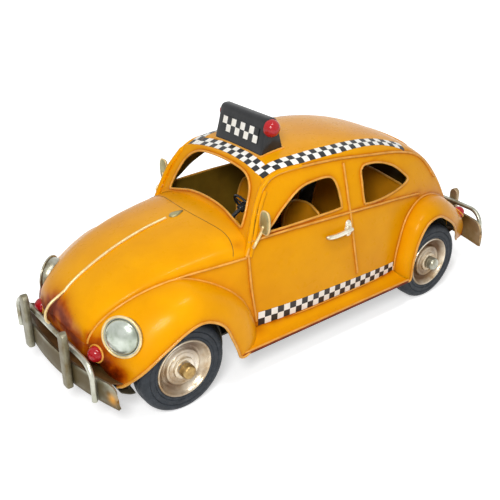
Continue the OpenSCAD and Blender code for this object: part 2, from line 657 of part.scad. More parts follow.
// Running gear
function axle_x(front) = front ? front_axle_x : rear_axle_x;
bracket_offset = floor_neck - bracket_wall * 3;
axle_end_y = wheel_face_y + wheel_play + hub_cap_height * 0.55;
module axle(front) {
    color(pewter) translate([axle_x(front), -axle_end_y, axle_z]) rotate([-90, 0, 0])
        cylinder(d = axle_diameter, h = 2 * axle_end_y);
}
module front_axle() { axle(true); }
module rear_axle() { axle(false); }
module axle_bracket(front) {
    tab_height = axle_z + axle_diameter * 1.4 - floor_top;
    color("#7a7466") translate([axle_x(front), 0, 0]) difference() {
        union() {
            translate([-bracket_length / 2, -bracket_offset - bracket_wall, floor_top])
                cube([bracket_length, 2 * (bracket_offset + bracket_wall), bracket_wall / 2]);
            for (side = [-1, 1])
                translate([-bracket_length / 2, side * bracket_offset - bracket_wall / 2, floor_top])
                    cube([bracket_length, bracket_wall, tab_height]);
        }
        translate([0, -fender_width / 2, axle_z]) rotate([-90, 0, 0])
            cylinder(d = axle_diameter + 2 * axle_fit, h = fender_width);
    }
}
module front_axle_bracket() { axle_bracket(true); }
module rear_axle_bracket() { axle_bracket(false); }

// Puts a wheel piece, drawn with its outer face at zero height, at one corner of the car.
module at_wheel(front, left, out = 0) {
    side = left ? 1 : -1;
    translate([axle_x(front), side * (wheel_face_y + out), axle_z]) rotate([-90 * side, 0, 0]) children();
}
module tyre(front, left) {
    tread_r = tyre_diameter / 2;
    seat_r = rim_diameter / 2 + axle_fit;
    color(rubber) at_wheel(front, left) rotate_extrude() {
        translate([seat_r, -tyre_width]) square([tread_r - tyre_shoulder - seat_r, tyre_width]);
        translate([seat_r, tyre_shoulder - tyre_width])
            square([tread_r - seat_r, tyre_width - 2 * tyre_shoulder]);
        for (h = [-tyre_shoulder, tyre_shoulder - tyre_width])
            translate([tread_r - tyre_shoulder, h]) circle(r = tyre_shoulder);
    }
}
module wheel_disc(front, left) {
    bore_r = axle_diameter / 2 + axle_fit;
    hub_r = hub_diameter / 2;
    plate_r = disc_plate_diameter / 2;
    rim_r = rim_diameter / 2;
    step = rim_wall * 0.8;
    back = disc_dish + rim_wall;
    outline = [[bore_r, 0], [hub_r - step, 0], [hub_r, -step], [hub_r, -2 * step], [plate_r - step, -2 * step],
        [plate_r, -3 * step], [plate_r, -disc_dish], [rim_r - 2 * rim_wall, -disc_dish],
        [rim_r - rim_wall, -step], [rim_r - rim_wall, 0], [rim_r, 0], [rim_r, -tyre_width],
        [rim_r - rim_wall, -tyre_width], [rim_r - rim_wall, -back], [hub_r - step, -back],
        [hub_r - step, -tyre_width], [bore_r, -tyre_width]];
    color("#9c8a5e") at_wheel(front, left) rotate_extrude() polygon(outline);
}
module hub_cap(front, left) {
    cap_r = hub_cap_diameter / 2;
    hole_r = axle_diameter / 2 + axle_fit;
    hole = axle_end_y - wheel_face_y - wheel_play + axle_fit;
    outline = [[hole_r, 0], [cap_r, 0], [cap_r, hub_cap_height * 0.6], [cap_r * 0.85, hub_cap_height * 0.85],
        [cap_r * 0.5, hub_cap_height], [0, hub_cap_height], [0, hole], [hole_r, hole]];
    color(pewter) at_wheel(front, left, wheel_play) rotate_extrude() polygon(outline);
}
module wheel_disc_front_left() { wheel_disc(true, true); }
module wheel_disc_front_right() { wheel_disc(true, false); }
module wheel_disc_rear_left() { wheel_disc(false, true); }
module wheel_disc_rear_right() { wheel_disc(false, false); }
module tyre_front_left() { tyre(true, true); }
module tyre_front_right() { tyre(true, false); }
module tyre_rear_left() { tyre(false, true); }
module tyre_rear_right() { tyre(false, false); }
module hub_cap_front_left() { hub_cap(true, true); }
module hub_cap_front_right() { hub_cap(true, false); }
module hub_cap_rear_left() { hub_cap(false, true); }
module hub_cap_rear_right() { hub_cap(false, false); }

// Dashboard, steering and seats
dash_at_share = 0.74;
dash_low_share = 0.54;
dash_top_share = 0.7;
dash_shoulder_share = 0.595;
module dashboard() {
    x = station(dash_at_share);
    half = side_y(x, dash_shoulder_share * roof_height) - sheet_wall - 2 * seam_gap;
    arc = [for (k = [-crown_steps : crown_steps])
        let (p = crown([0, dash_top_share * roof_height], [0, half, dash_shoulder_share * roof_height],
            k / crown_steps))
        [p[1], p[2]]];
    outline = concat(arc, [[half, dash_low_share * roof_height], [-half, dash_low_share * roof_height]]);
    color("#b97f1c") end_prism(outline, x - dash_wall, dash_wall);
}
steering_at_shares = [0.64, 0.3, 0.72];
column_lean = 60;
column_length = 40;
module steering_place() {
    translate([station(steering_at_shares[0]), steering_at_shares[1] * body_width / 2,
        steering_at_shares[2] * roof_height]) rotate([0, -column_lean, 0]) children();
}
module steering_column() {
    color("#3b3a36") difference() {
        steering_place() {
            translate([0, 0, -column_length]) cylinder(d = column_diameter, h = column_length + column_diameter);
            translate([0, 0, -column_diameter * 1.5 - axle_fit])
                cylinder(d = steering_hub_diameter, h = column_diameter);
        }
        translate([station(dash_at_share) - dash_wall - seam_gap / 4, 0, 0])
            cube([half_length, body_width / 2, roof_height]);
    }
}
module steering_wheel() {
    ring_r = (steering_diameter - steering_wire) / 2;
    color("#1d1d1f") steering_place() difference() {
        union() {
            rotate_extrude() translate([ring_r, 0]) circle(d = steering_wire, $fn = 24);
            translate([0, 0, -column_diameter / 2]) cylinder(d = steering_hub_diameter, h = column_diameter);
            for (turn = [90, 210, 330])
                rotate([0, 0, turn]) rotate([0, 90, 0]) cylinder(d = steering_wire, h = ring_r, $fn = 24);
        }
        translate([0, 0, -steering_diameter])
            cylinder(d = column_diameter + 2 * axle_fit, h = 2 * steering_diameter);
    }
}
module strip_between(p, q, wall) {
    across = wall / 2 * [q[1] - p[1], p[0] - q[0]] / norm(q - p);
    polygon([p + across, q + across, q - across, p - across]);
}
seat_front_share = 0.6;
bench_front_share = 0.25;
seat_offset_share = 0.46;
module seat(front_x, width) {
    cushion_z = floor_top + cushion_height;
    rear_x = front_x - cushion_length;
    bottom = floor_top + axle_fit;
    top = [rear_x - seat_back_lean, cushion_z + seat_back_height];
    color("#c08a1e") translate([0, width / 2, 0]) rotate([90, 0, 0]) linear_extrude(width) {
        strip_between([front_x, bottom], [front_x, cushion_z + sheet_wall / 2], sheet_wall);
        strip_between([front_x, cushion_z], [rear_x, cushion_z], sheet_wall);
        strip_between([rear_x, bottom], [rear_x, cushion_z + sheet_wall / 2], sheet_wall);
        strip_between([rear_x, cushion_z - sheet_wall / 2], top, sheet_wall);
    }
}
module front_seat_left() {
    translate([0, seat_offset_share * body_width / 2, 0]) seat(station(seat_front_share), seat_width);
}
module front_seat_right() {
    translate([0, -seat_offset_share * body_width / 2, 0]) seat(station(seat_front_share), seat_width);
}
module rear_bench() { seat(station(bench_front_share), bench_width); }

// Lamps. A headlight shell is a cup set through the fender, with a domed lens in its mouth.
module both_sides() {
    children();
    mirror([0, 1, 0]) children();
}
module headlight_shells() {
    r = headlight_diameter / 2;
    d = headlight_depth;
    w = headlight_wall;
    outline = concat([[r - w, w], [r, w]], shell_outline(),
        [[0, w - d], [r * 0.5 - w / 2, w - d * 0.95], [r * 0.8 - w, w / 2 - d * 0.7], [r - w, -d / 3]]);
    color(pewter) both_sides() headlight_place() rotate_extrude() polygon(outline);
}
module headlight_lenses() {
    r = headlight_diameter / 2 - headlight_wall - axle_fit;
    ball = (r * r + headlight_dome * headlight_dome) / (2 * headlight_dome);
    color("#9aa39c") both_sides() headlight_place()
        rotate_extrude() intersection() {
            translate([0, headlight_dome - ball]) circle(r = ball, $fn = 96);
            square([r, headlight_dome]);
        }
}
module dome_lamp(diameter) {
    r = diameter / 2;
    rotate_extrude() {
        translate([0, -lamp_body]) square([r, lamp_body]);
        intersection() {
            circle(r = r);
            square([r, r]);
        }
    }
}
module marker_lamps() {
    color(lamp_red) both_sides() marker_place() dome_lamp(marker_diameter);
}
module tail_lamps() {
    color(lamp_red) both_sides() tail_lamp_place() dome_lamp(tail_lamp_diameter);
}

// Bonnet strip, which turns out into a handle at the nose, and the badge above it
strip_rows_share = [1.2, 4.5];
handle_shares = [[1.78, 0.482], [1.84, 0.468], [1.885, 0.454], [1.926, 0.43], [1.93, 0.396]];
module bonnet_strip() {
    centre = places(bonnet_centre_shares);
    line = concat(curve(centre, strip_rows_share[0], strip_rows_share[1], 22),
        curve(places(handle_shares), 0, 4, 8));
    flat = [for (p = line) [for (side = [-1, 1]) [p[0], side * strip_width / 2, p[1]]]];
    color(pewter) sheet(lifted(flat, strip_wall + seam_gap), strip_wall);
}
badge_row_share = 0.96;
badge_wings_share = 0.3;
module bonnet_badge() {
    centre = places(bonnet_centre_shares);
    p = catmull(centre, badge_row_share);
    ahead = catmull(centre, badge_row_share + badge_wings_share);
    slope = atan2(p[1] - ahead[1], ahead[0] - p[0]);
    color(pewter) translate([p[0], 0, p[1]]) rotate([0, slope, 0]) translate([0, 0, 2 * seam_gap]) hull() {
        cylinder(d = badge_diameter, h = badge_wall / 2, $fn = 32);
        cylinder(d = badge_diameter * 0.6, h = badge_wall, $fn = 32);
        translate([-badge_length / 2, 0, 0]) cylinder(d = badge_diameter * 0.25, h = badge_wall / 2, $fn = 32);
    }
}

// Bumpers, drawn for the front end and turned round for the rear
blade_radius = (blade_reach * blade_reach + blade_sweep * blade_sweep) / (2 * blade_sweep);
blade_face_x = half_length - guard_wall;
function blade_x(y) = blade_face_x - blade_radius + sqrt(blade_radius * blade_radius - y * y);
blade_corner = blade_height * 0.3;
module bumper_blade() {
    color(pewter) intersection() {
        translate([blade_face_x - blade_radius, 0, floor_clearance])
            linear_extrude(blade_height) difference() {
                circle(r = blade_radius, $fn = 200);
                circle(r = blade_radius - blade_wall, $fn = 200);
            }
        translate([half_length / 2, 0, 0]) rotate([90, 0, 90]) linear_extrude(half_length) {
            translate([-blade_reach, floor_clearance]) square([2 * blade_reach, blade_height - blade_corner]);
            translate([blade_corner - blade_reach, floor_clearance])
                square([2 * (blade_reach - blade_corner), blade_height]);
            for (side = [-1, 1])
                translate([side * (blade_reach - blade_corner), floor_clearance + blade_height - blade_corner])
                    circle(r = blade_corner);
        }
    }
}
module bumper_guards() {
    back = blade_x(guard_offset - guard_width / 2) + seam_gap / 2;
    r = guard_width / 2;
    color(pewter) for (side = [-1, 1])
        translate([back, side * guard_offset, floor_clearance]) rotate([90, 0, 90])
            linear_extrude(half_length - back) {
                translate([-r, 0]) square([guard_width, guard_height - r]);
                translate([0, guard_height - r]) circle(r = r);
            }
}
bow_corner_share = 0.2;
module bumper_bow(reach, height) {
    r = bow_diameter / 2;
    leg_x = blade_x(reach - r) + r + seam_gap / 2;
    bar_x = blade_x(guard_offset + guard_width / 2) - r - seam_gap;
    mid_x = blade_x(guard_offset - guard_width / 2) - r - seam_gap / 2;
    foot = floor_clearance + sheet_wall;
    top = floor_clearance + height;
    bend = bow_corner_share * reach;
    half = concat([[leg_x, reach, foot], [leg_x, reach, foot + (top - bend - foot) / 2],
            [leg_x, reach, top - bend]],
        [for (turn = [15 : 15 : 90])
            [leg_x + (bar_x - leg_x) * turn / 180, reach - bend + bend * cos(turn),
                top - bend + bend * sin(turn)]],
        [[bar_x, guard_offset + guard_width / 2, top], [mid_x, 0, top]]);
    other = [for (k = [len(half) - 2 : -1 : 0]) [half[k][0], -half[k][1], half[k][2]]];
    color(pewter) wire(concat(half, other), bow_diameter, [1, 0, 0]);
}
module bumper_irons(back_x) {
    color("#6b665a") for (side = [-1, 1])
        translate([back_x, side * guard_offset - iron_width / 2, floor_top])
            cube([blade_x(guard_offset + iron_width / 2) - blade_wall - seam_gap - back_x, iron_width,
                iron_wall]);
}
front_iron_share = 1.5;
rear_iron_share = -0.45;
module turned_round() {
    rotate([0, 0, 180]) children();
}
module front_bumper_blade() { bumper_blade(); }
module front_bumper_guards() { bumper_guards(); }
module front_bumper_bow() { bumper_bow(front_bow_reach, front_bow_height); }
module front_bumper_irons() { bumper_irons(station(front_iron_share)); }
module rear_bumper_blade() { turned_round() bumper_blade(); }
module rear_bumper_guards() { turned_round() bumper_guards(); }
module rear_bumper_bow() { turned_round() bumper_bow(rear_bow_reach, rear_bow_height); }
module rear_bumper_irons() { turned_round() bumper_irons(-station(rear_iron_share)); }

// Door mirrors: an oval head on a stalk from the foot of the windscreen post
mirror_at_shares = [0.7035, 0.766];
mirror_out_share = 0.955;
mirror_foot_shares = [0.737, 0.65];
mirror_turn = 0;
module mirrors() {
    head = [station(mirror_at_shares[0]), mirror_out_share * body_width / 2,
        mirror_at_shares[1] * roof_height];
    foot = on_side(place(mirror_foot_shares), 2 * bead_out + stalk_diameter / 2);
    run = head - foot;
    r = mirror_width / 2;
    color(pewter) both_sides() {
        translate(foot) rotate([0, acos(run[2] / norm(run)), atan2(run[1], run[0])])
            cylinder(d = stalk_diameter, h = norm(run));
        translate(head) rotate([0, 0, mirror_turn]) rotate([90, 0, 90])
            translate([0, 0, -mirror_wall / 2]) linear_extrude(mirror_wall) {
                translate([-r, r - mirror_height / 2]) square([mirror_width, mirror_height - mirror_width]);
                for (end = [-1, 1])
                    translate([0, end * (mirror_height / 2 - r)]) circle(r = r);
            }
    }
}

// Door handles: a lever on a boss
handle_at_shares = [0.384, 0.586];
module door_handles() {
    at = on_side(place(handle_at_shares), bead_gap);
    r = handle_height / 2;
    color(pewter) both_sides() translate(at) {
        rotate([-90, 0, 0]) cylinder(r = r, h = handle_stand + handle_wall);
        translate([0, handle_stand + handle_wall, 0]) rotate([90, 0, 0]) linear_extrude(handle_wall) {
            translate([0, -r]) square([handle_length - r, handle_height]);
            translate([handle_length - r, 0]) circle(r = r);
        }
    }
}

// Roof sign: a leaning block whose foot follows the roof, with a red lamp on each end
sign_at_share = 0.563;
sign_round = 2;
sign_bed_share = 0.6;
sign_bed_rows_share = [2.2, 0.15];
sign_bed_depth = 8;
sign_lamp_height_share = 0.74;
module sign_profile(base) {
    top = base + sign_height;
    sink = sign_bed_depth / 2;
    polygon([[-sign_foot / 2, base - sink], [sign_foot / 2, base - sink], [sign_foot / 2, base],
        [sign_top / 2, top - sign_round], [sign_top / 2 - sign_round, top], [sign_round - sign_top / 2, top],
        [-sign_top / 2, top - sign_round], [-sign_foot / 2, base]]);
    for (side = [-1, 1])
        translate([side * (sign_top / 2 - sign_round), top - sign_round]) circle(r = sign_round);
}
function sign_base() = catmull(places(roof_centre_shares), 1)[1];
module sign_box() {
    rows = 8;
    bed = lifted(roof_grid(sign_bed_rows_share[0], sign_bed_rows_share[1], rows, sign_bed_share), seam_gap);
    color("#18181a") one_mesh() difference() {
        translate([station(sign_at_share), sign_length / 2, 0]) rotate([90, 0, 0])
            linear_extrude(sign_length) sign_profile(sign_base());
        sheet(bed, sign_bed_depth);
    }
}
module sign_lamps() {
    r = sign_lamp_diameter / 2;
    color(lamp_red) for (side = [-1, 1])
        translate([station(sign_at_share), side * sign_length / 2,
            sign_base() + sign_lamp_height_share * sign_height])
            rotate([-90 * side, 0, 0]) rotate_extrude() intersection() {
                circle(r = r);
                square([r, r]);
            }
}

floor_pan();
bonnet();
windscreen_frame();
roof_panel();
tail_panel();
side_panel_left();
side_panel_right();
front_apron();
rear_apron();
front_fender_left();
front_fender_right();
rear_fender_left();
rear_fender_right();
running_board_left();
running_board_right();
engine_lid();
windscreen_bead();
side_beads_left();
side_beads_right();
rear_window_bead();
front_axle();
rear_axle();
front_axle_bracket();
rear_axle_bracket();
wheel_disc_front_left();
wheel_disc_front_right();
wheel_disc_rear_left();
wheel_disc_rear_right();
tyre_front_left();
tyre_front_right();
tyre_rear_left();
tyre_rear_right();
hub_cap_front_left();
hub_cap_front_right();
hub_cap_rear_left();
hub_cap_rear_right();
dashboard();
steering_column();
steering_wheel();
front_seat_left();
front_seat_right();
rear_bench();
headlight_shells();
headlight_lenses();
marker_lamps();
tail_lamps();
bonnet_strip();
bonnet_badge();
front_bumper_blade();
front_bumper_guards();
front_bumper_bow();
front_bumper_irons();
rear_bumper_blade();
rear_bumper_guards();
rear_bumper_bow();
rear_bumper_irons();
mirrors();
door_handles();
sign_box();
sign_lamps();
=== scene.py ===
"""Tin-plate toy taxi: the looks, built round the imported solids.

Lengths in the tables are millimetres in the part's frame: +X forward, +Y to the left, +Z up.
Share tables hold a station along the car (0 rear axle, 1 front axle, -1 rear end, 2 front end)
and a share of the roof's height, as in the part's source.
"""
import math

import bmesh
import bpy
import numpy as np
from mathutils import Matrix, Vector, geometry, kdtree


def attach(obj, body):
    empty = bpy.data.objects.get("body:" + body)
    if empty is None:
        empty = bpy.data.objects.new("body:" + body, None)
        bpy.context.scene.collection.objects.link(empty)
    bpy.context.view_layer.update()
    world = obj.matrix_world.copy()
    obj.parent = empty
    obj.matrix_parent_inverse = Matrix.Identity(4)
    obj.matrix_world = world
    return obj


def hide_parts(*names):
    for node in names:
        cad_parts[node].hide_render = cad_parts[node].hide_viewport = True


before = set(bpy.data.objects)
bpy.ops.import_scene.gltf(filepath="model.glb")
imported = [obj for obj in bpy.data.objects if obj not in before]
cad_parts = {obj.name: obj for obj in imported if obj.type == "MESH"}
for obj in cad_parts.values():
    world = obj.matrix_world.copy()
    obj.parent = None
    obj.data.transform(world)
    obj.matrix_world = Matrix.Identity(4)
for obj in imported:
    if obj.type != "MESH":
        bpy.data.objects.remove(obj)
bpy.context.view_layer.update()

MM = 0.001
QUARTER = math.pi / 2
SIDES = {"left": 1, "right": -1}

# Main sizes
WHEELBASE, FRONT_OVERHANG, REAR_OVERHANG = 199.0, 54.0, 67.0
BODY_WIDTH, FENDER_WIDTH, ROOF_HEIGHT, CLEARANCE = 106.0, 128.0, 122.0, 20.0
COWL_TAPER, TAIL_TAPER, CROWN_POWER = 3.3, 8.5, 2.2
HALF_LENGTH = (WHEELBASE + FRONT_OVERHANG + REAR_OVERHANG) / 2
FRONT_AXLE, REAR_AXLE = HALF_LENGTH - FRONT_OVERHANG, REAR_OVERHANG - HALF_LENGTH
AXLES = {"front": FRONT_AXLE, "rear": REAR_AXLE}
AXLE_Z, WHEEL_FACE = 26.4, 57.5
BEAD_R, BEAD_SIT = 0.66, 0.3
SHEET, THIN_SHEET, ROOT_SINK = 1.0, 0.8, 0.2


def station(share):
    share = np.asarray(share, float)
    ahead = FRONT_AXLE + (share - 1) * FRONT_OVERHANG
    behind = REAR_AXLE + share * REAR_OVERHANG
    return np.where(share > 1, ahead, np.where(share < 0, behind, REAR_AXLE + share * WHEELBASE))


def joined(*columns):
    """Table of points from its columns, where a single number fills its column."""
    return np.stack(np.broadcast_arrays(*(np.asarray(c, float) for c in columns)), -1)


def places(table):
    x, z = np.array(table, float).T
    return joined(station(x), z * ROOF_HEIGHT)


def lips(table):
    x, y, z = np.array(table, float).T
    return joined(station(x), y * FENDER_WIDTH / 2, z * ROOF_HEIGHT)


# Panels: the line along the middle (C) and the line on the side (E)
BONNET_C = places([[0.724, 0.725], [0.839, 0.709], [0.955, 0.675], [1.222, 0.619], [1.593, 0.537],
                   [1.769, 0.463], [1.815, 0.377]])
BONNET_E = places([[0.756, 0.605], [0.854, 0.598], [0.955, 0.587], [1.23, 0.553], [1.556, 0.473],
                   [1.72, 0.407], [1.752, 0.349]])
SCREEN_C = places([[0.724, 0.725], [0.687, 0.836], [0.651, 0.947]])
SCREEN_E = places([[0.755, 0.612], [0.711, 0.791], [0.673, 0.885]])
ROOF_C = places([[0.651, 0.947], [0.568, 0.984], [0.417, 0.998], [0.241, 0.98], [0.065, 0.902],
                 [-0.209, 0.754], [-0.478, 0.574], [-0.627, 0.393], [-0.672, 0.262]])
ROOF_E = places([[0.673, 0.885], [0.608, 0.929], [0.427, 0.926], [0.266, 0.9], [0.106, 0.861],
                 [0.005, 0.791], [-0.254, 0.615], [-0.463, 0.451], [-0.552, 0.287]])
FRONT_APRON_C = places([[1.815, 0.377], [1.79, 0.28], [1.722, 0.197]])
FRONT_APRON_E = places([[1.752, 0.349], [1.718, 0.265], [1.626, 0.197]])
REAR_APRON_C = places([[-0.672, 0.262], [-0.664, 0.226], [-0.645, 0.2]])
REAR_APRON_E = places([[-0.552, 0.287], [-0.55, 0.24], [-0.545, 0.2]])

# Fenders: the root on the body's side, the lip outside the tyre, and how full the sheet is between them
FRONT_ROOT = places([[1.69, 0.262], [1.752, 0.361], [1.628, 0.449], [1.374, 0.524], [1.067, 0.571],
                     [0.943, 0.579], [0.854, 0.513], [0.781, 0.41], [0.744, 0.283], [0.739, 0.197]])
REAR_ROOT = places([[0.148, 0.18], [0.148, 0.303], [0.128, 0.434], [0.093, 0.529], [0.025, 0.584],
                    [-0.164, 0.57], [-0.418, 0.496], [-0.612, 0.406], [-0.746, 0.32], [-0.784, 0.254]])
FRONT_LIP = lips([[1.648, 0.719, 0.197], [1.602, 0.797, 0.221], [1.472, 0.922, 0.299],
                  [1.241, 0.953, 0.369], [1, 0.972, 0.43], [0.945, 0.978, 0.443], [0.889, 0.98, 0.389],
                  [0.859, 0.98, 0.295], [0.839, 0.98, 0.213], [0.834, 0.98, 0.172]])
REAR_LIP = lips([[0.118, 0.966, 0.172], [0.116, 0.972, 0.295], [0.103, 0.978, 0.402],
                 [0.068, 0.98, 0.492], [0.015, 0.98, 0.516], [-0.119, 0.966, 0.471], [-0.269, 0.94, 0.41],
                 [-0.388, 0.89, 0.336], [-0.493, 0.82, 0.275], [-0.567, 0.775, 0.238]])
FRONT_FULL = np.array([1.3, 1.3, 1.36, 1.6, 1.9, 2, 2, 2, 2, 2])[:, None]
REAR_FULL = np.full((10, 1), 2.0)
FENDERS = {"front": (FRONT_ROOT, FRONT_LIP, FRONT_FULL), "rear": (REAR_ROOT, REAR_LIP, REAR_FULL)}
FENDER_END = 9
# Row where the lip's rounded corner by the running board starts, its run in rows and the share it cuts
LIP_CORNERS = {"front": (8.3, 0.7, 0.14), "rear": (0.22, -0.22, 0.3)}

# Windows and the lines of wire on the sides
DOOR_WINDOW = places([[0.681, 0.701], [0.656, 0.734], [0.616, 0.787], [0.548, 0.846], [0.487, 0.861],
                      [0.432, 0.856], [0.412, 0.824], [0.404, 0.754], [0.403, 0.713], [0.415, 0.7],
                      [0.528, 0.699], [0.661, 0.697]])
QUARTER_WINDOW = places([[0.306, 0.82], [0.296, 0.852], [0.276, 0.862], [0.221, 0.852], [0.161, 0.816],
                         [0.116, 0.762], [0.093, 0.724], [0.113, 0.702], [0.171, 0.684], [0.236, 0.675],
                         [0.291, 0.678], [0.308, 0.695]])
BELT = places([[0.746, 0.675], [0.603, 0.68], [0.372, 0.665], [0.236, 0.652], [0.141, 0.639],
               [0.035, 0.616]])
POST = places([[0.366, 0.91], [0.372, 0.787], [0.37, 0.664], [0.354, 0.475], [0.334, 0.32]])
DOOR_FRONT = places([[0.75, 0.6], [0.745, 0.439], [0.728, 0.262]])

# Openings across the car: shares of the body's half width and of the roof's height
SCREEN_OPENING = np.array([[0.68, 0.71], [0.676, 0.75], [0.65, 0.8], [0.6, 0.858], [0.5, 0.9],
                           [0.34, 0.922], [0, 0.93], [-0.34, 0.922], [-0.5, 0.9], [-0.6, 0.858],
                           [-0.65, 0.8], [-0.676, 0.75], [-0.68, 0.71], [-0.6, 0.714], [-0.3, 0.744],
                           [0, 0.752], [0.3, 0.744], [0.6, 0.714]])
REAR_OPENING = np.array([[0.4, 0.74], [0.44, 0.79], [0.4, 0.845], [0, 0.862], [-0.4, 0.845],
                         [-0.44, 0.79], [-0.4, 0.74], [0, 0.73]])

# Side section: share of the roof's height, share of the half width
SIDE_PROFILE = np.array([[0.164, 0.991], [0.287, 1], [0.41, 1], [0.541, 0.981], [0.656, 0.949],
                         [0.787, 0.874], [0.869, 0.802], [0.926, 0.743], [0.967, 0.679]])
# Stations where the sides start to draw in towards the cowl and the tail, and where the taper is full
COWL_FROM, COWL_TO, TAIL_FROM, TAIL_TO = station([0.492, 0.749, 0.317, -0.254])
TAIL_LIMIT = 1.2


# Curves and surfaces

def catmull(points, u):
    points = np.asarray(points, float)
    u = np.asarray(u, float)
    i = np.clip(np.floor(u), 0, len(points) - 2).astype(int)
    t = (u - i)[..., None]
    ends = np.vstack([2 * points[0] - points[1], points, 2 * points[-1] - points[-2]])
    a, b, c, d = (ends[i + k] for k in range(4))
    return (2 * b + (c - a) * t + (2 * a - 5 * b + 4 * c - d) * t ** 2
            + (3 * b - a - 3 * c + d) * t ** 3) / 2


def curve(points, start, end, steps):
    return catmull(points, np.linspace(start, end, steps + 1))


def loop_curve(points, steps):
    wrapped = np.vstack([points[-1], points, points[0], points[1]])
    return catmull(wrapped, 1 + np.arange(len(points) * steps) / steps)


def around(count):
    return np.linspace(0, 2 * math.pi, count, endpoint=False)


def squared(value, power):
    """A sine or cosine drawn out, so that the round becomes squarish."""
    return np.sign(value) * np.abs(value) ** power


def arc(share):
    """Height of a quarter circle of radius 1 at a share of its reach."""
    return np.sqrt(np.clip(1 - np.asarray(share, float) ** 2, 0, 1))


def side_profile(share):
    table = SIDE_PROFILE
    i = np.clip(np.searchsorted(table[:, 0], share, side="right") - 1, 0, len(table) - 2)
    u = i + (share - table[i, 0]) / (table[i + 1, 0] - table[i, 0])
    return catmull(table[:, 1:], u)[..., 0]


def side_y(x, z):
    front = np.maximum(0, x - COWL_FROM) / (COWL_TO - COWL_FROM)
    rear = np.maximum(0, TAIL_FROM - x) / (TAIL_FROM - TAIL_TO)
    half = BODY_WIDTH / 2 * side_profile(np.maximum(z, CLEARANCE) / ROOF_HEIGHT)
    return half - COWL_TAPER * front ** 2 - TAIL_TAPER * np.minimum(rear, TAIL_LIMIT) ** 2


def on_side(points, out=0.0):
    """Points (x, z) carried to the left side, and out from it by a distance."""
    x, z = np.moveaxis(np.asarray(points, float), -1, 0)
    return joined(x, side_y(x, z) + out, z)


def crowned(centre, edge, u, t):
    """Point on a crowned panel at row u, from the middle (t 0) to the side (t 1 or -1)."""
    u, t = np.broadcast_arrays(np.asarray(u, float), np.asarray(t, float))
    c, e = catmull(centre, u), on_side(catmull(edge, u))
    side = squared(np.sin(QUARTER * t), 2 / CROWN_POWER)
    drop = 1 - np.abs(np.cos(QUARTER * t)) ** (2 / CROWN_POWER)
    return joined(c[..., 0] + (e[..., 0] - c[..., 0]) * drop, e[..., 1] * side,
                  c[..., 1] + (e[..., 2] - c[..., 1]) * drop)


def across_share(edge_y, y):
    return np.arcsin(np.clip(np.abs(y) / edge_y, 0, 1) ** (CROWN_POWER / 2)) / QUARTER * np.sign(y)


def solve_row(centre, edge, points, axis, span):
    """Rows and shares on a crowned panel for points given across (column 0) and along the axis."""
    us = np.linspace(*span, 500)
    edge_y = on_side(catmull(edge, us))[:, 1]
    rows, shares = [], []
    for y, value in points:
        found = crowned(centre, edge, us, across_share(edge_y, y))[:, axis]
        order = np.argsort(found)
        rows.append(np.interp(value, found[order], us[order]))
        shares.append(across_share(np.interp(rows[-1], us, edge_y), y))
    return np.array(rows), np.array(shares)


def fender_surface(end, u, t, out=-ROOT_SINK):
    """Point on a fender at row u, from its root on the side (t 0) to its lip (t 1)."""
    root, lip, full = FENDERS[end]
    u, t = np.broadcast_arrays(np.asarray(u, float), np.asarray(t, float))
    foot = on_side(catmull(root, u), out)
    power = 2 / catmull(full, u)[..., 0]
    side = np.clip(np.sin(QUARTER * t), 0, 1) ** power
    drop = 1 - np.clip(np.cos(QUARTER * t), 0, 1) ** power
    return foot + (catmull(lip, u) - foot) * joined(drop, side, drop)


def lip_share(end, u):
    """How far the sheet reaches towards the lip, less at its rounded corner."""
    start, run, cut = LIP_CORNERS[end]
    return 1 - cut * (1 - arc(np.clip((u - start) / run, 0, 1)))


def mirrored(points):
    return np.asarray(points, float) * [1, -1, 1]


def resample(path, step, closed=False):
    path = np.asarray(path, float)
    if closed:
        path = np.vstack([path, path[:1]])
    run = np.concatenate([[0], np.cumsum(np.linalg.norm(np.diff(path, axis=0), axis=1))])
    at = np.linspace(0, run[-1], max(int(round(run[-1] / step)), 3) + 1)
    if closed:
        at = at[:-1]
    return joined(*(np.interp(at, run, column) for column in path.T))


def smoothed(path, step, rounds):
    path = resample(path, step)
    for _ in range(rounds):
        path[1:-1] = (path[:-2] + 2 * path[1:-1] + path[2:]) / 4
    return path


# Materials

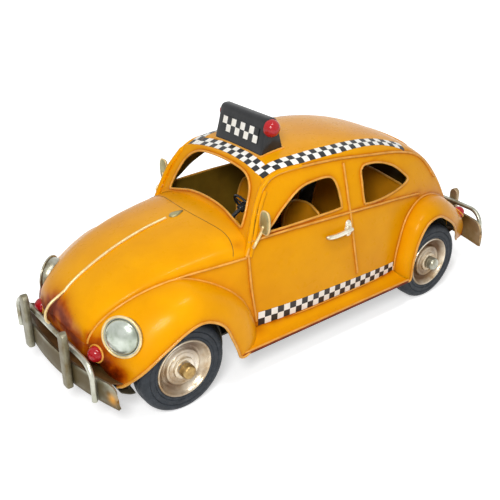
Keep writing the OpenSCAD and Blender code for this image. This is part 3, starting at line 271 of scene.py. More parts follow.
class Nodes:
    """Short calls that add nodes to a shader tree and link them up."""

    def __init__(self, tree):
        self.tree = tree
        self.shader = tree.nodes.get("Principled BSDF")

    def new(self, kind, **values):
        node = self.tree.nodes.new("ShaderNode" + kind)
        for key, value in values.items():
            node.inputs[key].default_value = value
        return node

    def link(self, value, socket):
        if isinstance(value, (int, float)):
            socket.default_value = value
        elif isinstance(value, tuple):
            socket.default_value = (*value, 1)
        else:
            self.tree.links.new(value, socket)

    def shade(self, key, value):
        self.link(value, self.shader.inputs[key])

    def noise(self, scale, detail, rough, stretch=None):
        source = self.new("TexCoord").outputs["Object"]
        if stretch:
            mapping = self.new("Mapping", Scale=stretch)
            self.link(source, mapping.inputs["Vector"])
            source = mapping.outputs["Vector"]
        node = self.new("TexNoise", Scale=scale, Detail=detail, Roughness=rough)
        self.link(source, node.inputs["Vector"])
        return node.outputs["Fac"]

    def ramp(self, value, *stops):
        node = self.new("ValToRGB")
        elements = node.color_ramp.elements
        while len(elements) < len(stops):
            elements.new(0.5)
        for element, (place, colour) in zip(elements, stops):
            element.position = place
            element.color = (*colour, 1)
        self.link(value, node.inputs["Fac"])
        return node.outputs["Color"]

    def math(self, operation, a, b=0.0):
        node = self.new("Math")
        node.operation, node.use_clamp = operation, True
        for socket, value in zip(node.inputs, (a, b)):
            self.link(value, socket)
        return node.outputs["Value"]

    def times(self, a, b):
        return self.math("MULTIPLY", a, b)

    def plus(self, a, b):
        return self.math("ADD", a, b)

    def mix(self, factor, a, b, blend="MIX"):
        node = self.new("Mix")
        node.data_type, node.blend_type = "RGBA", blend
        sockets = {socket.name: socket for socket in node.inputs if socket.enabled}
        for key, value in (("Factor", factor), ("A", a), ("B", b)):
            self.link(value, sockets[key])
        return next(socket for socket in node.outputs if socket.enabled)

    def attribute(self, name):
        node = self.new("Attribute")
        node.attribute_name = name
        return node.outputs["Fac"]

    def bump(self, height, strength, distance):
        node = self.new("Bump", Strength=strength, Distance=distance)
        self.link(height, node.inputs["Height"])
        self.shade("Normal", node.outputs["Normal"])


def grey(value):
    return (value, value, value)


def new_material(name, metallic=0.0, roughness=0.4, coat=0.0, specular=0.5):
    material = bpy.data.materials.new(name)
    material.use_nodes = True
    nodes = Nodes(material.node_tree)
    for key, value in (("Metallic", metallic), ("Roughness", roughness), ("Coat Weight", coat),
                       ("Coat Roughness", 0.1), ("Specular IOR Level", specular)):
        nodes.shade(key, value)
    return material, nodes


# Colours that the wash attribute runs through, from none to strong; they also make the painted shade
WASH_AND_SHADE_STOPS = [(0.0, (1, 1, 1)), (0.22, (0.84, 0.72, 0.5)), (0.48, (0.54, 0.24, 0.07)),
              (0.75, (0.25, 0.058, 0.014)), (1.0, (0.085, 0.02, 0.009))]
SPECK_BROWN, GILT, PAINT_GLEAM = (0.16, 0.05, 0.01), (0.72, 0.32, 0.02), (1.0, 0.74, 0.28)


def paint_material(name, light, deep, rough_low, rough_high):
    """Gloss paint with a cloudy tint, specks and a brown wash in the seams. The same wash attribute also
    carries painted shade along the running boards' lower edges and round the hole behind the bonnet handle.
    """
    material, n = new_material(name, coat=0.04, specular=0.13)
    n.shade("Specular Tint", PAINT_GLEAM)
    grain, wash_and_shade_mask = n.noise(190, 5, 0.65), n.attribute("wash_and_painted_light")
    wash_and_painted_light = n.times(wash_and_shade_mask, n.plus(grain, 0.42))
    base = n.ramp(n.noise(32, 4, 0.6), (0.3, deep), (0.68, light))
    base = n.mix(1.0, base, n.ramp(wash_and_painted_light, *WASH_AND_SHADE_STOPS), "MULTIPLY")
    specks = n.ramp(n.noise(620, 2, 0.5), (0.7, grey(0)), (0.76, grey(1)))
    thin = n.times(n.plus(wash_and_shade_mask, 0.1), specks)
    n.shade("Base Color", n.mix(n.times(thin, 0.75), base, SPECK_BROWN))
    n.shade("Roughness", n.plus(n.times(grain, rough_high - rough_low), n.plus(n.times(wash_and_painted_light, 0.25), rough_low)))
    dents, pits = n.noise(55, 2, 0.4), n.noise(420, 2, 0.5)
    n.bump(n.plus(n.times(dents, 0.8), n.times(pits, 0.05)), 0.28, 0.0009)
    return material


def metal_material(name, pale, mid, dark, metallic=0.85, rough=0.34, scale=70):
    """Aged metal: a pale polish, a darker film and brown in the patches."""
    material, n = new_material(name, metallic)
    cloud, scratch = n.noise(scale, 5, 0.62), n.noise(240, 3, 0.7, (0.2, 1.0, 3.0))
    base = n.ramp(cloud, (0.36, dark), (0.48, mid), (0.63, pale))
    n.shade("Base Color", n.mix(n.times(scratch, 0.35), base, mid))
    n.shade("Roughness", n.plus(n.times(scratch, 0.25), rough - 0.1))
    n.bump(n.plus(n.times(cloud, 0.6), n.times(scratch, 0.2)), 0.25, 0.0006)
    return material


def plain_material(name, pale, dark, roughness, scale, metallic=0.0, coat=0.0, depth=0.0004, strength=0.2):
    """Paint, rubber or tin with a cloudy colour, uneven gloss and a fine grain."""
    material, n = new_material(name, metallic, roughness, coat, 0.25)
    n.shade("Base Color", n.ramp(n.noise(scale, 4, 0.6), (0.3, dark), (0.7, pale)))
    n.shade("Roughness", n.ramp(n.noise(scale * 2.3, 3, 0.6), (0.3, grey(roughness * 0.8)),
                                (0.7, grey(min(roughness * 1.25, 1)))))
    n.bump(n.noise(scale * 4, 3, 0.6), strength, depth)
    return material


def trim_material(name, pale, mid, dark, stain, rough=0.34, scale=60, shine=0.85):
    """Aged trim: metal with a stain where the wash is strong and gold where yellow shows through. On the wheel
    dishes the wash also carries a streak of painted shade, and on the blades it is weaker where a highlight is
    painted.
    """
    material, n = new_material(name, metallic=0.75)
    cloud, grain = n.noise(scale, 5, 0.62), n.noise(210, 4, 0.65)
    wash_and_painted_light = n.times(n.attribute("wash_and_painted_light"), n.plus(grain, 0.55))
    base = n.mix(wash_and_painted_light, n.ramp(cloud, (0.36, dark), (0.5, mid), (0.66, pale)), stain)
    n.shade("Base Color", n.mix(n.times(n.attribute("gilt"), n.plus(cloud, 0.35)), base, GILT))
    n.shade("Roughness", n.plus(n.times(wash_and_painted_light, 0.3), rough))
    n.shade("Metallic", n.math("SUBTRACT", shine, n.times(wash_and_painted_light, shine * 0.7)))
    n.bump(n.plus(n.times(cloud, 0.6), n.times(grain, 0.25)), 0.3, 0.0006)
    return material


PAINT = paint_material("yellow_paint", (0.86, 0.376, 0.001), (0.76, 0.308, 0.001), 0.2, 0.38)
# Painted shade: the inner sides of the sheets and the dashboard are a dark olive brown, darker than the outside
# paint
INNER_SHADE = paint_material("inner_shade_paint", (0.30, 0.19, 0.022), (0.15, 0.10, 0.014), 0.45, 0.65)
SEAT = paint_material("seat_paint", (0.88, 0.36, 0.010), (0.62, 0.26, 0.008), 0.35, 0.55)
WIRE = plain_material("wire_paint", (0.84, 0.42, 0.075), (0.64, 0.27, 0.018), 0.36, 140, 0.0, 0.15)
CREAM = plain_material("cream_wire", (0.86, 0.70, 0.38), (0.68, 0.47, 0.18), 0.3, 160, 0.25, 0.2)
PEWTER = metal_material("pewter", (0.56, 0.56, 0.48), (0.38, 0.38, 0.31), (0.18, 0.14, 0.07))
BUMPER = trim_material("bumper_metal", (0.44, 0.45, 0.38), (0.26, 0.26, 0.19), (0.15, 0.12, 0.06),
                       (0.085, 0.058, 0.017))
WHEEL = trim_material("wheel_metal", (0.95, 0.92, 0.86), (0.76, 0.68, 0.53), (0.40, 0.27, 0.14),
                      (0.10, 0.045, 0.014), 0.24, 48, 0.62)
CAP = metal_material("cap_metal", (0.50, 0.36, 0.15), (0.36, 0.23, 0.08), (0.16, 0.09, 0.03),
                     0.85, 0.36, 110)
POLISH = metal_material("handle_metal", (0.90, 0.88, 0.78), (0.72, 0.68, 0.54), (0.40, 0.32, 0.18),
                        0.55, 0.26)
STEEL = metal_material("dark_steel", (0.26, 0.24, 0.20), (0.18, 0.16, 0.12), (0.08, 0.06, 0.04), 0.7, 0.45)
LENS = metal_material("lamp_lens", (0.58, 0.62, 0.56), (0.34, 0.38, 0.31), (0.16, 0.18, 0.13), 0.7, 0.2, 62)
TYRE = plain_material("tyre_rubber", (0.036, 0.043, 0.052), (0.018, 0.022, 0.027), 0.55, 210, 0.0, 0.0,
                      0.0003, 0.3)
RED = plain_material("lamp_red", (0.52, 0.008, 0.014), (0.32, 0.004, 0.008), 0.2, 130, 0.0, 0.25,
                     0.0002, 0.05)
BLACK = plain_material("black_paint", (0.020, 0.021, 0.023), (0.008, 0.009, 0.010), 0.36, 120, 0.0, 0.2)
WHITE = plain_material("white_paint", (0.97, 0.96, 0.92), (0.86, 0.84, 0.76), 0.38, 170, 0.0, 0.15)
DARK = plain_material("dark_wash", (0.22, 0.10, 0.015), (0.10, 0.045, 0.010), 0.5, 150)
OLIVE = metal_material("olive_metal", (0.44, 0.42, 0.24), (0.34, 0.31, 0.15), (0.18, 0.14, 0.06),
                       0.55, 0.42, 80)
# Painted shade: the undersides, the inner sides of the fenders and running boards, and the pieces that close
# the hollow body are a near-black olive grey
UNDER_SHADE = plain_material("bare_tin", (0.085, 0.072, 0.042), (0.035, 0.030, 0.020), 0.55, 80, 0.3)
# Painted shade: dark brown for the trays that fill the gap between each bumper blade and the body
TRAY_SHADE = plain_material("tray_shade_paint", (0.17, 0.085, 0.022), (0.07, 0.036, 0.012), 0.5, 70, 0.2)


# Mesh helpers

def add_piece(name, verts, faces, materials, body="car", slot="yellow_paint", replaces=(), indices=None,
              smooth=40.0, wash_and_painted_light=None, gilt=None):
    mesh = bpy.data.meshes.new(name)
    mesh.from_pydata((np.asarray(verts, float) * MM).tolist(), [], [[int(k) for k in f] for f in faces])
    for material in materials if isinstance(materials, (list, tuple)) else [materials]:
        mesh.materials.append(material)
    if indices is not None:
        mesh.polygons.foreach_set("material_index", np.asarray(indices, np.int32))
    for key, values in (("wash_and_painted_light", wash_and_painted_light), ("gilt", gilt)):
        if values is not None:
            layer = mesh.attributes.new(key, "FLOAT", "POINT")
            layer.data.foreach_set("value", np.asarray(values, np.float32))
    work = bmesh.new()
    work.from_mesh(mesh)
    bmesh.ops.recalc_face_normals(work, faces=work.faces)
    work.to_mesh(mesh)
    work.free()
    mesh.polygons.foreach_set("use_smooth", [True] * len(mesh.polygons))
    mesh.set_sharp_from_angle(angle=math.radians(smooth))
    obj = bpy.data.objects.new(name, mesh)
    bpy.context.scene.collection.objects.link(obj)
    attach(obj, body)
    if replaces:
        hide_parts(*replaces)


def merged(parts):
    verts, faces, offset = [], [], 0
    for part_verts, part_faces in parts:
        verts.append(np.asarray(part_verts, float))
        faces.extend([[k + offset for k in f] for f in part_faces])
        offset += len(part_verts)
    return np.vstack(verts), faces


def both_sides(verts, faces):
    return merged([(verts, faces), (mirrored(verts), faces)])


def grid_faces(rows, columns, closed=False):
    wide = columns if closed else columns - 1
    return [[i * columns + j, i * columns + (j + 1) % columns, (i + 1) * columns + (j + 1) % columns,
             (i + 1) * columns + j] for i in range(rows - 1) for j in range(wide)]


def loft(rings):
    """Solid through rings of points, with a flat cap at each end."""
    count, verts = len(rings[0]), np.vstack(rings)
    caps = [list(range(count)), list(range(len(verts) - count, len(verts)))]
    return verts, grid_faces(len(rings), count, True) + caps


def tube(path, radius, sides=10, closed=False):
    """Round bar along a path, with ends rounded a little."""
    path = np.asarray(path, float)
    count = len(path)
    along = np.roll(path, -1, 0) - np.roll(path, 1, 0) if closed else np.gradient(path, axis=0)
    along /= np.linalg.norm(along, axis=1)[:, None]
    upright = abs(along[0][2]) >= 0.9
    normals = [np.cross(along[0], [1.0, 0.0, 0.0] if upright else [0.0, 0.0, 1.0])]
    normals[0] /= np.linalg.norm(normals[0])
    for k in range(1, count):
        turned = normals[-1] - along[k] * np.dot(normals[-1], along[k])
        normals.append(turned / np.linalg.norm(turned))
    radius = np.broadcast_to(np.asarray(radius, float), (count,))
    cosines, sines = np.cos(around(sides))[:, None], np.sin(around(sides))[:, None]
    rings = [p + r * (cosines * n + sines * b)
             for p, r, n, b in zip(path, radius, normals, np.cross(along, np.array(normals)))]
    if not closed:
        shrink, reach = 0.55, 0.4
        first, last = (path[k] + rings[k] * shrink - path[k] * shrink + along[k] * way * radius[k] * reach
                       for k, way in ((0, -1), (-1, 1)))
        rings = [first, *rings, last]
    count = len(rings)
    faces = []
    for k in range(count if closed else count - 1):
        a, b = k * sides, ((k + 1) % count) * sides
        faces += [[a + s, a + (s + 1) % sides, b + (s + 1) % sides, b + s] for s in range(sides)]
    if not closed:
        faces += [list(range(sides))[::-1], [(count - 1) * sides + s for s in range(sides)]]
    return np.vstack(rings), faces


def lathe(profile, origin, direction, segments):
    """Outline of (radius, height) turned round a direction from an origin. It is closed on itself unless
    it starts and ends on the axis."""
    direction = np.asarray(direction, float) / np.linalg.norm(direction)
    side = np.cross(direction, [0.0, 0.0, 1.0])
    side /= np.linalg.norm(side)
    other = np.cross(direction, side)
    verts, faces, rings = [], [], []
    for r, h in profile:
        centre = np.asarray(origin, float) + h * direction
        start = len(verts)
        if r:
            verts.extend(centre + r * (math.cos(a) * side + math.sin(a) * other) for a in around(segments))
        else:
            verts.append(centre)
        rings.append(list(range(start, len(verts))))
    on_axis = len(rings[0]) == len(rings[-1]) == 1
    for low, high in zip(rings, rings[1:] if on_axis else rings[1:] + rings[:1]):
        for s in range(segments):
            e = (s + 1) % segments
            if len(low) == 1:
                faces.append([low[0], high[s], high[e]])
            elif len(high) == 1:
                faces.append([low[s], high[0], low[e]])
            else:
                faces.append([low[s], high[s], high[e], low[e]])
    return np.array(verts), faces


def vertex_normals(verts, faces):
    normals = np.zeros_like(verts)
    for width, (a, b, c, d) in ((3, (1, 0, 2, 0)), (4, (2, 0, 3, 1))):
        group = np.array([f for f in faces if len(f) == width])
        if len(group):
            corners = verts[group]
            n = np.cross(corners[:, a] - corners[:, b], corners[:, c] - corners[:, d])
            for k in range(width):
                np.add.at(normals, group[:, k], n)
    return normals / np.maximum(np.linalg.norm(normals, axis=1), 1e-9)[:, None]


def shell(verts, faces, wall, inside):
    """Closed sheet: the faces are its outer side, and it gets a wall towards the inside point. The outer
    side comes first in the vertices and faces that it gives, and then the inner side."""
    verts = np.asarray(verts, float)
    normals = vertex_normals(verts, faces)
    if np.sum(normals * (verts - np.asarray(inside, float))) < 0:
        faces = [list(f)[::-1] for f in faces]
        normals = -normals
    n = len(verts)
    inner = [[k + n for k in f[::-1]] for f in faces]
    edges = dict.fromkeys((a, b) for f in faces for a, b in zip(f, [*f[1:], f[0]]))
    rim = [[b, a, a + n, b + n] for a, b in edges if (b, a) not in edges]
    return np.vstack([verts, verts - wall * normals]), list(faces) + inner + rim


def grid_shell(grid, wall, inside):
    return shell(grid.reshape(-1, 3), grid_faces(*grid.shape[:2]), wall, inside)


def raised(points, share):
    """Shell's points moved outwards by a share of its wall."""
    half = len(points) // 2
    out = points[:half] - points[half:]
    return points + np.vstack([out, out]) * share


def inside_loop(points, loop):
    x, y = points[:, 0, None], points[:, 1, None]
    a, b = loop, np.roll(loop, -1, axis=0)
    crosses = (a[None, :, 1] > y) != (b[None, :, 1] > y)
    rise = np.where(np.abs(b - a)[:, 1] < 1e-12, 1e-12, (b - a)[:, 1])
    at = a[None, :, 0] + (y - a[None, :, 1]) * ((b - a)[:, 0] / rise)[None, :]
    return (crosses & (x < at)).sum(1) % 2 == 1


def flat_panel(outline, holes, step):
    """Triangles that fill an outline round its holes, with even points between them."""
    hole_step, row_step, edge_room = step * 0.8, step * 0.9, step * 0.55
    loops = [resample(outline, step, True)] + [resample(hole, hole_step, True) for hole in holes]

    def in_panel(points):
        inside = inside_loop(points, loops[0])
        for hole in loops[1:]:
            inside &= ~inside_loop(points, hole)
        return inside

    edge_points = np.vstack(loops)
    low, high = loops[0].min(0), loops[0].max(0)
    gx, gy = np.meshgrid(np.arange(low[0], high[0], step), np.arange(low[1], high[1], row_step))
    gx[1::2] += step / 2
    grid = joined(gx.ravel(), gy.ravel())
    grid = grid[in_panel(grid)]
    tree = kdtree.KDTree(len(edge_points))
    for k, p in enumerate(edge_points):
        tree.insert((*p, 0), k)
    tree.balance()
    grid = grid[[tree.find((*p, 0))[2] > edge_room for p in grid]]
    edges, offset = [], 0
    for loop in loops:
        n = len(loop)
        edges += [(offset + k, offset + (k + 1) % n) for k in range(n)]
        offset += n
    points = [Vector(p) for p in np.vstack([edge_points, grid]).tolist()]
    out = geometry.delaunay_2d_cdt(points, edges, [], 0, 1e-6)
    verts = np.array([list(v) for v in out[0]])
    tris = np.array([f for f in out[2] if len(f) == 3])
    return verts, tris[in_panel(verts[tris].mean(1))].tolist()


# Wire paths on the left side

def side_line(table, start, end, steps):
    return on_side(curve(table, start, end, steps), BEAD_SIT)


drip_table = np.vstack([curve(SCREEN_E, 0.1, 1.85, 24), curve(ROOF_E, 0.12, 5.7, 110)])
# Path, whether it is closed, and how strong the wash beside it is
side_wires = [(on_side(smoothed(drip_table, 1.0, 6), BEAD_SIT), False, 0.42),
              (side_line(BELT, 0, 5, 70), False, 0.5), (side_line(POST, 0.12, 4, 60), False, 0.4),
              (side_line(DOOR_FRONT, -0.1, 2, 40), False, 0.45),
              (on_side(loop_curve(DOOR_WINDOW, 10), BEAD_SIT), True, 0.45),
              (on_side(loop_curve(QUARTER_WINDOW, 10), BEAD_SIT), True, 0.42)]
bonnet_edge_path = side_line(BONNET_E, 0.02, 2.1, 30)
front_root_path = side_line(FRONT_ROOT, 1.0, 8.9, 130)
rear_root_path = side_line(REAR_ROOT, 0.3, 7.2, 110)


def panel_loop(table, centre, edge, span):
    """Opening given across and up on a crowned panel: its wire's path, the flat loop, rows and shares."""
    flat = loop_curve(table * [BODY_WIDTH / 2, ROOF_HEIGHT], 8)
    rows, shares = solve_row(centre, edge, flat, 2, span)
    points, step = crowned(centre, edge, rows, shares), 0.01
    down = crowned(centre, edge, rows + step, shares) - crowned(centre, edge, rows - step, shares)
    across = crowned(centre, edge, rows, shares + step) - crowned(centre, edge, rows, shares - step)
    normal = np.cross(down, across)
    normal /= np.linalg.norm(normal, axis=1)[:, None]
    normal *= np.sign(np.sum(normal * (points - [0, 0, ROOF_HEIGHT / 2]), axis=1))[:, None]
    return points + BEAD_SIT * normal, flat, rows, shares


screen_path, screen_flat, screen_rows, screen_shares = panel_loop(SCREEN_OPENING, SCREEN_C, SCREEN_E, (-1, 3))
rear_path, _, rear_rows, rear_shares = panel_loop(REAR_OPENING, ROOF_C, ROOF_E, (3.5, 6.5))

# Brown wash: strong beside the soldered wires, and dark brown low on the nose and the tail. Painted shade is
# added the same way along the running boards' lower edges and round the hole behind the bonnet handle.
NEAR_WASH_AND_SHADE, NEAR_REACH, FAR_WASH_AND_SHADE, FAR_REACH, INNER_SHADE_WASH = 0.85, 1.6, 0.25, 4.5, 0.15
dark_line_points, dark_line_strength = [], []


def add_dark_line(path, strength, closed=False):
    points = resample(path, 1.0, closed)
    for one in (points, mirrored(points)):
        dark_line_points.extend(one.tolist())
        dark_line_strength.extend([strength] * len(one))


for path, closed, strength in side_wires + [
        (bonnet_edge_path, False, 0.26), (front_root_path, False, 0.3), (rear_root_path, False, 0.45),
        (screen_path, True, 0.5), (rear_path, True, 0.45)]:
    add_dark_line(path, strength, closed)
for lip in (FRONT_LIP, REAR_LIP):
    add_dark_line(curve(lip, 0, FENDER_END, 80), 0.4)
SILL_SEAM_FRONT, SILL_SEAM_REAR, SILL_SEAM_Z = 54, -63, 26.5
# Painted shade: a dark brown line along the lower outer edge of each running board
BOARD_SHADE_FRONT, BOARD_SHADE_REAR, BOARD_SHADE_Y, BOARD_SHADE_Z = 72, -68, 62.3, 21.6
add_dark_line(on_side(joined(np.linspace(SILL_SEAM_FRONT, SILL_SEAM_REAR, 60), SILL_SEAM_Z)), 0.75)
add_dark_line(joined(np.linspace(BOARD_SHADE_FRONT, BOARD_SHADE_REAR, 60), BOARD_SHADE_Y, BOARD_SHADE_Z), 1.2)

dark_line_tree = kdtree.KDTree(len(dark_line_points))
for index, point in enumerate(dark_line_points):
    dark_line_tree.insert(point, index)
dark_line_tree.balance()


def fender_spot(end, row, share, reach, strength):
    return (*fender_surface(end, row, share), reach, strength)


# The first three spots are painted shade round the dark hole behind the bonnet handle
# Place on the left side, reach and strength
wash_and_shade_blobs = [
    (153, 4, 53, 9.5, 1.0), (151, 9, 47, 10, 1.0), (149, 18, 42, 9, 0.9), (146, 0, 30, 14, 1.0),
    (145, 30, 30, 12, 1.0), (60, 44, 82, 4, 0.35), (-137, 0, 36, 14, 0.7), (-86, 46, 73, 5, 0.35),
    (52, 52, 31, 7, 0.4),
    fender_spot("front", 0.9, 0.3, 11, 0.95), fender_spot("front", 0.95, 0.66, 7.5, 1.0),
    fender_spot("front", 0.75, 0.47, 9, 1.0), fender_spot("front", 0.5, 0.62, 7, 1.0),
    fender_spot("front", 0.1, 0.5, 8, 1.0), fender_spot("front", 1.3, 0.06, 5, 0.55),
    fender_spot("front", 1.6, 0.5, 5, 0.5), fender_spot("rear", 7.6, 0.3, 7, 0.55),
    fender_spot("rear", 8.8, 0.5, 8, 0.8),
]


def wash_and_shade_at(points):
    values = np.zeros(len(points))
    for k, p in enumerate(points):
        _, index, distance = dark_line_tree.find(p)
        values[k] = dark_line_strength[index] * (NEAR_WASH_AND_SHADE * math.exp(-(distance / NEAR_REACH) ** 2)
                                            + FAR_WASH_AND_SHADE * math.exp(-distance / FAR_REACH))
    folded = joined(points[:, 0], np.abs(points[:, 1]), points[:, 2])
    for x, y, z, reach, strength in wash_and_shade_blobs:
        distance = np.linalg.norm(folded - [x, y, z], axis=1)
        values = np.maximum(values, strength * np.exp(-(distance / reach) ** 2))
    return np.clip(values, 0, 1)


# Body shells

def body_shell(name, verts, faces, inside, replaces, inner=INNER_SHADE, wall=SHEET, mirror=False):
    if mirror:
        verts, inside = mirrored(verts), mirrored(inside)
    points, all_faces = shell(verts, faces, wall, inside)
    half = len(points) // 2
    add_piece(name, points, all_faces, [PAINT, inner], replaces=replaces,
              indices=[0] * len(faces) + [1] * (len(all_faces) - len(faces)),
              wash_and_painted_light=np.concatenate([wash_and_shade_at(points[:half]), np.full(half, INNER_SHADE_WASH)]))


for name, centre, edge, span, rows, columns, inside in (
        ("bonnet", BONNET_C, BONNET_E, (-0.14, 6), 110, 90, (90, 0, 30)),
        ("front_apron", FRONT_APRON_C, FRONT_APRON_E, (0, 2), 24, 70, (100, 0, 40)),
        ("rear_apron", REAR_APRON_C, REAR_APRON_E, (0, 2), 14, 70, (-90, 0, 40))):
    panel = crowned(centre, edge, np.linspace(*span, rows)[:, None], np.linspace(-1, 1, columns))
    body_shell(name + "_shell", panel.reshape(-1, 3), grid_faces(rows, columns), inside, [name])

# Windscreen frame: a ring between the opening and the panel's own outline
SCREEN_MIDDLE_Z = 99.0
rim_rows = np.concatenate([np.linspace(0, 2, 40), np.full(60, 2.0), np.linspace(2, 0, 40), np.zeros(90)])
rim_shares = np.concatenate([np.ones(40), np.linspace(1, -1, 60), -np.ones(40), np.linspace(-1, 1, 90)])
rim = crowned(SCREEN_C, SCREEN_E, rim_rows, rim_shares)
opening_turn = np.arctan2(screen_flat[:, 1] - SCREEN_MIDDLE_Z, screen_flat[:, 0])
rim_turn = np.arctan2(rim[:, 2] - SCREEN_MIDDLE_Z, rim[:, 1])
turns = np.linspace(-math.pi, math.pi, 220, endpoint=False)
blend = np.linspace(0, 1, 8)[:, None]


def between(opening, outline):
    """Values from the opening to the outline, at even turns round the screen."""
    first, last = (np.interp(turns, at[np.argsort(at)], values[np.argsort(at)], period=2 * math.pi)
                   for values, at in ((opening, opening_turn), (outline, rim_turn)))
    return first + (last - first) * blend


ring = crowned(SCREEN_C, SCREEN_E, between(screen_rows, rim_rows), between(screen_shares, rim_shares))
body_shell("screen_frame_shell", ring.reshape(-1, 3), grid_faces(len(blend), len(turns), True), (0, 0, 70),
           ["windscreen_frame"])

# Roof and tail in one sheet, with the rear window
FLAT_MM = np.array([28.0, 62.0])
roof_outline = np.array([[0, -1], [8, -1], [8, 1], [0, 1]]) * FLAT_MM
flat, faces = flat_panel(roof_outline, [joined(rear_rows, rear_shares) * FLAT_MM], 2.1)
body_shell("roof_shell", crowned(ROOF_C, ROOF_E, *(flat / FLAT_MM).T), faces, (-30, 0, 50),
           ["roof_panel", "tail_panel"])

# Sides, cut round the rear wheel arch
ARCH_R = 31.0
arch_turn = np.linspace(math.radians(140), math.radians(-11.9), 40)
side_outline = np.vstack([
    [[station(0.739), CLEARANCE]], curve(FRONT_ROOT, 9, 5, 24), curve(BONNET_E, 1.9, 0, 10),
    curve(SCREEN_E, 0.1, 2, 14), curve(ROOF_E, 0.1, 7.3, 60), [[-122.0, 52.0]],
    joined(REAR_AXLE + ARCH_R * np.cos(arch_turn), AXLE_Z + ARCH_R * np.sin(arch_turn))])
flat, faces = flat_panel(side_outline, [loop_curve(DOOR_WINDOW, 8), loop_curve(QUARTER_WINDOW, 8)], 1.9)
for side, sign in SIDES.items():
    body_shell(f"side_shell_{side}", on_side(flat), faces, (0, 0, 60), [f"side_panel_{side}"], mirror=sign < 0)

# Fenders, with the sheet carried a little way inside the body
TUCK, REAR_TUCK = np.array([0, -5.0, 0]), np.array([11.0, -14.0, 0.0])
TUCK_ROW, TUCK_RUN, TUCK_SHARES = 5.8, 1.6, (1.0, 0.75, 0.5, 0.25)
# The far front fender's crown is flatter round this row
FAR_FENDER_DROP, DROP_ROW, DROP_RUN = 3.6, 3.7, 1.5


def fender_grid(end, drop, rows=170, columns=34):
    us, ts = np.linspace(0, FENDER_END, rows)[:, None], np.linspace(0, 1, columns)
    surface = fender_surface(end, us, ts * lip_share(end, us))
    surface[..., 2] -= drop * np.exp(-((us - DROP_ROW) / DROP_RUN) ** 2) * np.sin(np.pi * ts ** 0.8)
    tuck = TUCK + (np.clip((us - TUCK_ROW) / TUCK_RUN, 0, 1) * REAR_TUCK if end == "rear" else 0.0)
    tucked = np.stack([surface[:, 0] + share * tuck for share in TUCK_SHARES], 1)
    return np.concatenate([tucked, surface], 1)


for end, x in AXLES.items():
    for side, sign in SIDES.items():
        grid = fender_grid(end, FAR_FENDER_DROP if (end, side) == ("front", "right") else 0.0)
        body_shell(f"{end}_fender_shell_{side}", grid.reshape(-1, 3), grid_faces(*grid.shape[:2]), (x, 35, 25),
                   [f"{end}_fender_{side}"], inner=UNDER_SHADE, mirror=sign < 0)

# Wheel housings, and the floor and the wall behind the nose, which close the hollow body
HOUSING = [(30.4, 49.5), (30.4, 46.0), (30.4, 42.0), (29.6, 40.4), (28.0, 39.8), (20.0, 39.4), (12.0, 39.2),
           (4.5, 39.2)]
NOSE_REAR, NOSE_NECK, NOSE_WIDE, NOSE_TIP, NOSE_FLOOR_Z, WALL_FOOT = 112, 133, 134.2, 140, 21.4, 22
housing_turn = np.linspace(math.radians(-10), math.radians(190), 48)
for end, x in AXLES.items():
    grid = np.array([joined(x + r * np.cos(housing_turn), y, AXLE_Z + r * np.sin(housing_turn))
                     for r, y in HOUSING])
    housing = grid_shell(grid, THIN_SHEET, (x, 90, AXLE_Z))
    add_piece(f"{end}_housings", *both_sides(*housing), UNDER_SHADE, slot="bare_tin")
plate_x = np.concatenate([np.linspace(NOSE_REAR, NOSE_NECK, 12), np.linspace(NOSE_WIDE, NOSE_TIP, 6)])
plate_half = np.interp(plate_x, [NOSE_REAR, NOSE_NECK, NOSE_WIDE, 137, NOSE_TIP], [41, 41, 53, 52, 48])
plate_z = NOSE_FLOOR_Z + 0.6 * np.sin((plate_x - NOSE_REAR) / 9)
plate = np.array([joined(plate_x, s * plate_half, plate_z) for s in np.linspace(-1, 1, 40)])
add_piece("nose_floor", *grid_shell(plate, THIN_SHEET, (120, 0, -100)), UNDER_SHADE, slot="bare_tin")
wall_x, wall_y, wall_z = (crowned(BONNET_C, BONNET_E, 0.3, np.linspace(-0.97, 0.97, 60)) - [0, 0, 1.6]).T
wall = np.array([joined(wall_x + 1.5 * math.sin(3 * s), wall_y * 0.97, WALL_FOOT + (wall_z - WALL_FOOT) * s)
                 for s in np.linspace(0, 1, 16)])
add_piece("nose_wall", *grid_shell(wall, THIN_SHEET, (-20, 0, 40)), UNDER_SHADE, slot="bare_tin")

# Running boards, bowed at both ends to follow the fenders
BOARD_ROOT, BOARD_LIP, BOARD_WALL = 52, 62.9, 0.9
BOARD_FRONT, BOARD_REAR, FRONT_BOW, REAR_BOW = 56.5, -62.6, 19, 6
BOARD_SECTION = resample([[50.5, 28.0], [52.4, 27.6], [54.5, 26.9], [57.5, 25.8], [60.6, 24.7], [61.8, 24.3],
                          [62.3, 23.7], [62.4, 22.8], [62.2, 21.4]], 0.8)
board = []
for y, z in BOARD_SECTION:
    bow = 1 - arc(np.clip((y - BOARD_ROOT) / (BOARD_LIP - BOARD_ROOT), 0, 0.98))
    board.append(joined(np.linspace(BOARD_REAR - REAR_BOW * bow, BOARD_FRONT + FRONT_BOW * bow, 80), y, z))
board = np.array(board)
for side, sign in SIDES.items():
    body_shell(f"board_shell_{side}", board.reshape(-1, 3), grid_faces(*board.shape[:2]), (0, 30, 0),
               [f"running_board_{side}"], inner=UNDER_SHADE, wall=BOARD_WALL, mirror=sign < 0)


# Wires

def wires(name, paths, material, radius, slot="wire_paint", replaces=(), sides=10):
    verts, faces = merged([tube(path, radius, sides, closed) for path, closed in paths])
    add_piece(name, verts, faces, material, slot=slot, replaces=replaces)


